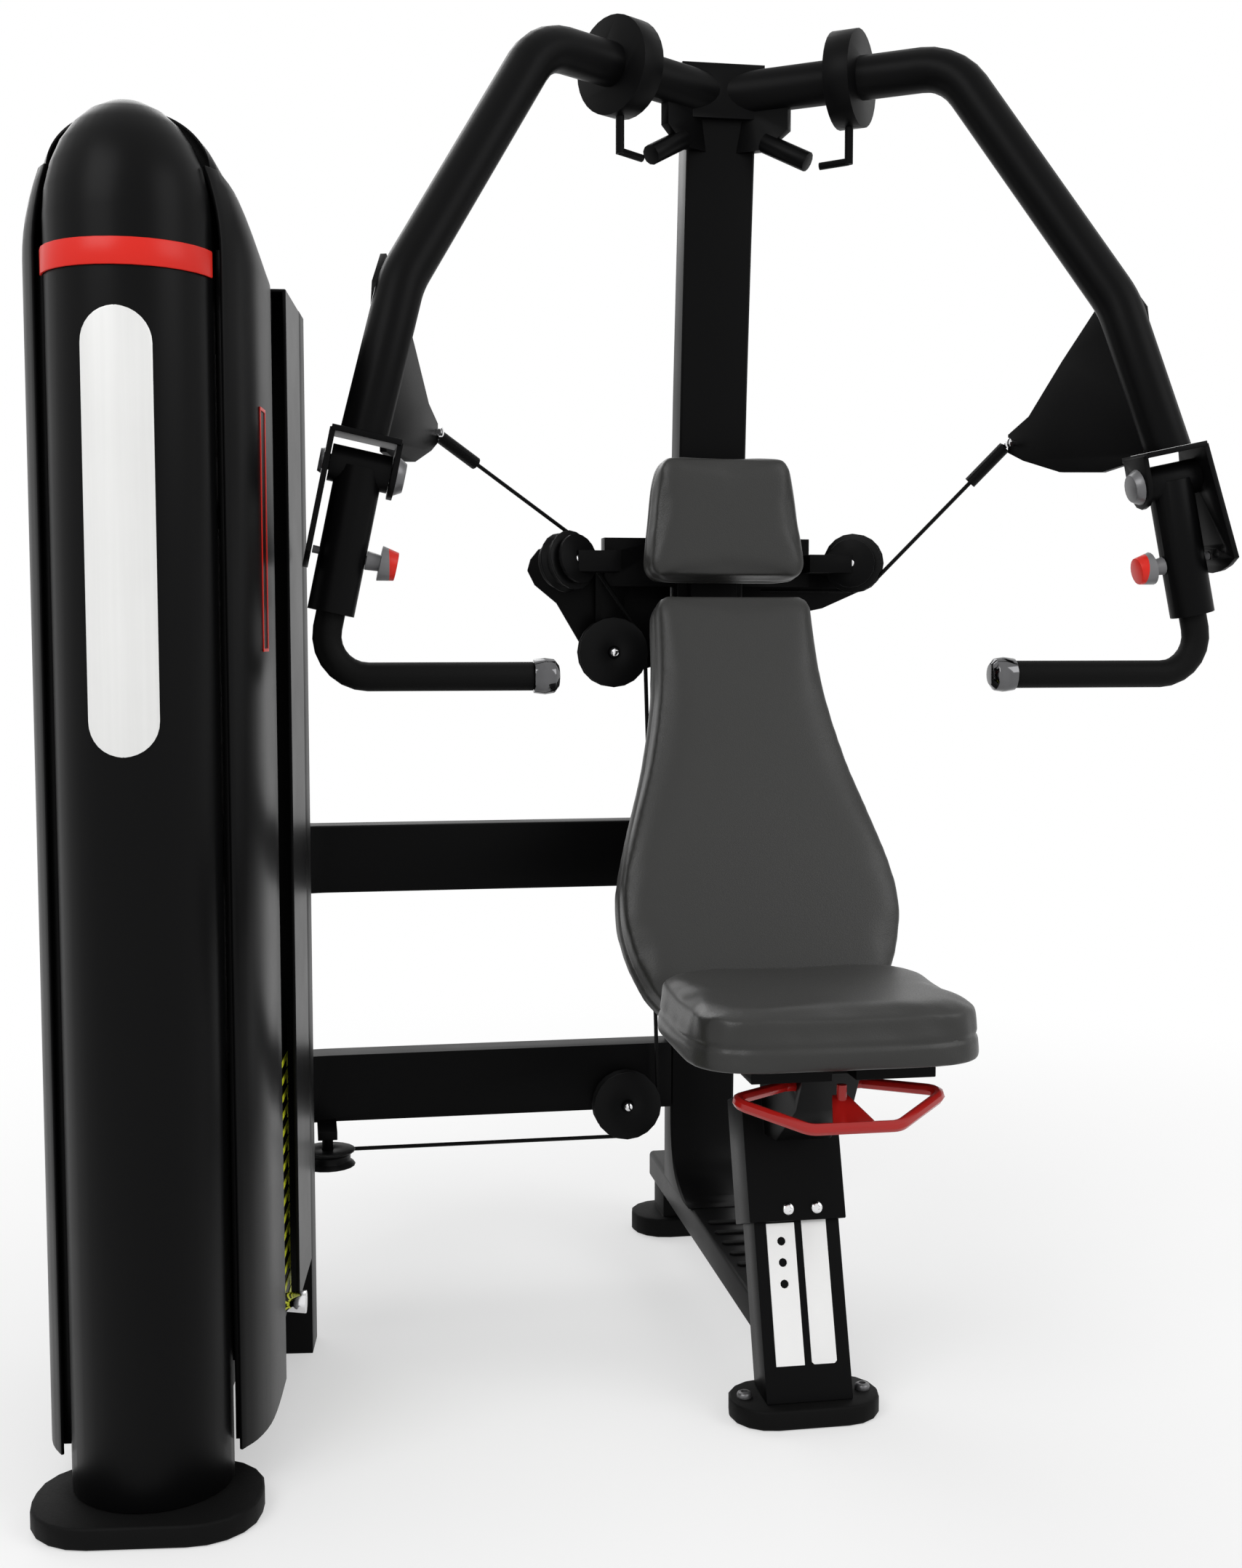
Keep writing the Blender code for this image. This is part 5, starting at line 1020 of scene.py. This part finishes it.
@dataclass
class DriveCables:
    """The cable stretches to the arms and over the stack, as copies of their solids in the rest lie."""

    lift: float = 0.09
    sleeve_share: float = 0.72
    eye: Triple = (0.4219, 0.4075, 1.245)
    gusset_facing: Pair = (0.9349, 0.3550)
    link_radius: float = 0.0078
    link_wire: float = 0.0026
    link_stretch: float = 1.45
    bolt: tuple[Pair, ...] = (
        (0.0042, -0.0150), (0.0068, -0.0138), (0.0068, -0.0096), (0.0046, -0.0094),
        (0.0046, 0.0094), (0.0068, 0.0096), (0.0068, 0.0138), (0.0042, 0.0150))

    def build(self) -> None:
        """Make the two spans to the arms with their shackles, and the cable over the stack."""
        for side in SIDES:
            self.span(side)
            self.shackle(side)
        self.stack()

    @staticmethod
    def twin(node: str) -> Object:
        """Copy a cable's solid as one welded mesh.

        Args:
            node: The cable's node.

        Returns:
            The copy, smoothly shaded and dressed.
        """
        mesh = frame["nodes"][node].data.copy()
        obj = bpy.data.objects.new(node + "_strand", mesh)
        bpy.context.scene.collection.objects.link(obj)
        Maker.edit(obj)
        bpy.ops.mesh.remove_doubles(threshold=0.00002)
        Maker.leave_edit()
        return obj

    def span(self, side: str) -> None:
        """Cable from a side pulley to an arm, whose ends meet the frame and the arm; the copy rides on no body.

        Args:
            side: Which arm.
        """
        node = side + "_cable_span"
        obj = self.twin(node)
        points = Cushion.points(obj)
        low, high = points[points[:, 2].argmin()], points[points[:, 2].argmax()]
        Maker.finish(obj, obj.name, CABLE_BLACK, "")
        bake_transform(obj)
        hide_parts(node)

    def shackle(self, side: str) -> None:
        """Bright shackle with its bolt, which ties a cable's end to the gusset of an arm.

        Args:
            side: Which arm.
        """
        sign = SIDES[side]
        across = Vector((sign * self.gusset_facing[0], self.gusset_facing[1], 0.0))
        outward = Vector((-sign * self.gusset_facing[1], self.gusset_facing[0], 0.0))
        eye = Vector((sign * self.eye[0], self.eye[1], self.eye[2]))
        Maker.fresh()
        bpy.ops.mesh.primitive_torus_add(major_radius=self.link_radius, minor_radius=self.link_wire,
                                         major_segments=32, minor_segments=12, location=(0, 0, 0))
        link = bpy.context.object
        Maker.edit(link)
        bpy.ops.transform.resize(value=(1.0, self.link_stretch, 1.0))
        Maker.leave_edit()
        middle = eye + outward * self.link_radius * self.link_stretch
        Maker.put(link, framed(middle, across, outward))
        bolt = Maker.put(Maker.turned(self.bolt, 20), aimed(eye, across))
        Maker.finish(Maker.joined([link, bolt]), side + "_cable_shackle", CHROME,
                     side + "_press_arm")

    def stack(self) -> None:
        """Cable from the top pulley to the stack, hung on the frame at its rest length."""
        node = "stack_cable"
        obj = Maker.finish(self.twin(node), node + "_strand", CABLE_BLACK, FRAME_BODY)
        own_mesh(obj)
        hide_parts(node)


@dataclass
class Studio:
    """Camera at the photograph's place, pale floor, white surround and soft lights."""

    camera_place: Triple = (-0.614, -2.17, 0.968)
    camera_turn: Triple = (math.radians(85.39), 0.0, math.radians(-10.0))
    lens: float = 42.51
    floor_size: float = 40.0
    floor_tone: float = 0.93
    surround: float = 0.62
    fade_from_to: Pair = (0.9, 2.6)
    white_share: Pair = (0.45, 1.0)
    lamps: tuple[tuple[Triple, float, float], ...] = (
        ((-2.6, -2.6, 3.4), 2.4, 70.0),
        ((2.8, -2.2, 3.0), 2.4, 46.0),
        ((-1.2, 3.2, 3.4), 2.6, 50.0),
    )
    target: Triple = (-0.2, 0.2, 0.9)

    def build(self) -> None:
        """Set up camera, floor, surround and lamps."""
        self.camera()
        self.floor()
        self.world()
        for number, (place, size, power) in enumerate(self.lamps):
            self.lamp(number, place, size, power)
        bpy.context.scene.view_settings.view_transform = "Standard"

    def camera(self) -> None:
        """Camera at the photograph's place and angle."""
        data = bpy.data.cameras.new("camera")
        data.lens = self.lens
        data.sensor_width = 36.0
        obj = bpy.data.objects.new("camera", data)
        bpy.context.scene.collection.objects.link(obj)
        obj.location = self.camera_place
        obj.rotation_euler = Euler(self.camera_turn)
        bpy.context.scene.camera = obj

    def floor(self) -> None:
        """Large pale floor that takes the object's shadow."""
        Maker.fresh()
        bpy.ops.mesh.primitive_plane_add(size=self.floor_size, location=(0.0, 0.0, -0.0004))
        obj = bpy.context.object
        obj.name = "floor"
        made = bpy.data.materials.new("pale_floor")
        made.use_nodes = True
        shader = made.node_tree.nodes["Principled BSDF"]
        shader.inputs["Base Color"].default_value = (*(self.floor_tone,) * 3, 1.0)
        shader.inputs["Roughness"].default_value = 0.9
        shader.inputs["Specular IOR Level"].default_value = 0.05
        self.whiten(made.node_tree, shader)
        obj.data.materials.append(made)

    def whiten(self, tree: Tree, shader: bpy.types.ShaderNode) -> None:
        """Fade the floor to plain white away from the object, for what looks at it directly.

        Args:
            tree: The floor material's nodes.
            shader: Its lit surface.
        """
        make, wire = tree.nodes.new, tree.links.new
        away = make("ShaderNodeVectorMath")
        away.operation = "DISTANCE"
        wire(make("ShaderNodeTexCoord").outputs["Object"], away.inputs[0])
        away.inputs[1].default_value = (self.target[0], self.target[1], 0.0)
        fade = make("ShaderNodeMapRange")
        fade.interpolation_type = "SMOOTHSTEP"
        for name, (least, most) in {"From": self.fade_from_to, "To": self.white_share}.items():
            fade.inputs[name + " Min"].default_value = least
            fade.inputs[name + " Max"].default_value = most
        wire(away.outputs["Value"], fade.inputs["Value"])
        seen = self.looked_at(tree)
        share = make("ShaderNodeMath")
        share.operation = "MULTIPLY"
        wire(fade.outputs["Result"], share.inputs[0])
        wire(seen, share.inputs[1])
        white = make("ShaderNodeEmission")
        both = make("ShaderNodeMixShader")
        wire(share.outputs[0], both.inputs[0])
        wire(shader.outputs[0], both.inputs[1])
        wire(white.outputs[0], both.inputs[2])
        wire(both.outputs[0], tree.nodes["Material Output"].inputs["Surface"])

    @staticmethod
    def looked_at(tree: Tree) -> Socket:
        """Add the nodes that tell a direct look, a reflection or a look through glass from light.

        Args:
            tree: The nodes to add to.

        Returns:
            The socket that is 1 for such a look.
        """
        path = tree.nodes.new("ShaderNodeLightPath")
        last = path.outputs["Is Camera Ray"]
        for name in ("Is Glossy Ray", "Is Transmission Ray"):
            either = tree.nodes.new("ShaderNodeMath")
            either.operation = "MAXIMUM"
            tree.links.new(last, either.inputs[0])
            tree.links.new(path.outputs[name], either.inputs[1])
            last = either.outputs[0]
        return last

    def world(self) -> None:
        """Even surround light that looks white to the camera and in reflections."""
        world = bpy.data.worlds.new("surround")
        bpy.context.scene.world = world
        world.use_nodes = True
        tree = world.node_tree
        level = tree.nodes.new("ShaderNodeMapRange")
        level.inputs["To Min"].default_value = self.surround
        level.inputs["To Max"].default_value = 1.0
        tree.links.new(self.looked_at(tree), level.inputs["Value"])
        back = tree.nodes["Background"]
        back.inputs["Color"].default_value = (1.0, 1.0, 1.0, 1.0)
        tree.links.new(level.outputs["Result"], back.inputs["Strength"])

    def lamp(self, number: int, place: Triple, size: float, power: float) -> None:
        """One soft square lamp aimed at the object.

        Args:
            number: The lamp's number, for its name.
            place: Where it stands.
            size: Its side.
            power: Its power in watts.
        """
        data = bpy.data.lights.new(f"softbox_{number}", "AREA")
        data.size = size
        data.energy = power
        obj = bpy.data.objects.new(data.name, data)
        bpy.context.scene.collection.objects.link(obj)
        obj.matrix_world = aimed(place, Vector(place) - Vector(self.target))


def cushions() -> list[Cushion]:
    """Give the three pads of the bench."""
    back_tilt, head_tilt = math.radians(23.5), math.radians(7.0)
    back_face = (0.0, -math.cos(back_tilt), math.sin(back_tilt))
    head_face = (0.0, -math.cos(head_tilt), math.sin(head_tilt))
    return [
        Cushion("seat_pad", "seat", (0.0, 0.0, 1.0), 0.75, seam_share=0.40, settling=26),
        Cushion("back_pad", FRAME_BODY, back_face, 0.8, voxel=0.006, cap=0.005, settling=20),
        Cushion("head_pad", FRAME_BODY, head_face, 0.8, cap=0.0035, rounding=9, settling=16),
    ]


def main() -> None:
    """Build the studio, dress the solids and make every added piece."""
    logging.basicConfig(level=logging.INFO, format="%(message)s")
    Studio().build()
    SolidNodes().dress()
    for pad in cushions():
        pad.build()
    TowerTrim().build()
    BenchTrim().build()
    PulleyTrim().build()
    DriveCables().build()
    Maker.fresh()


if __name__ == "__main__":
    main()
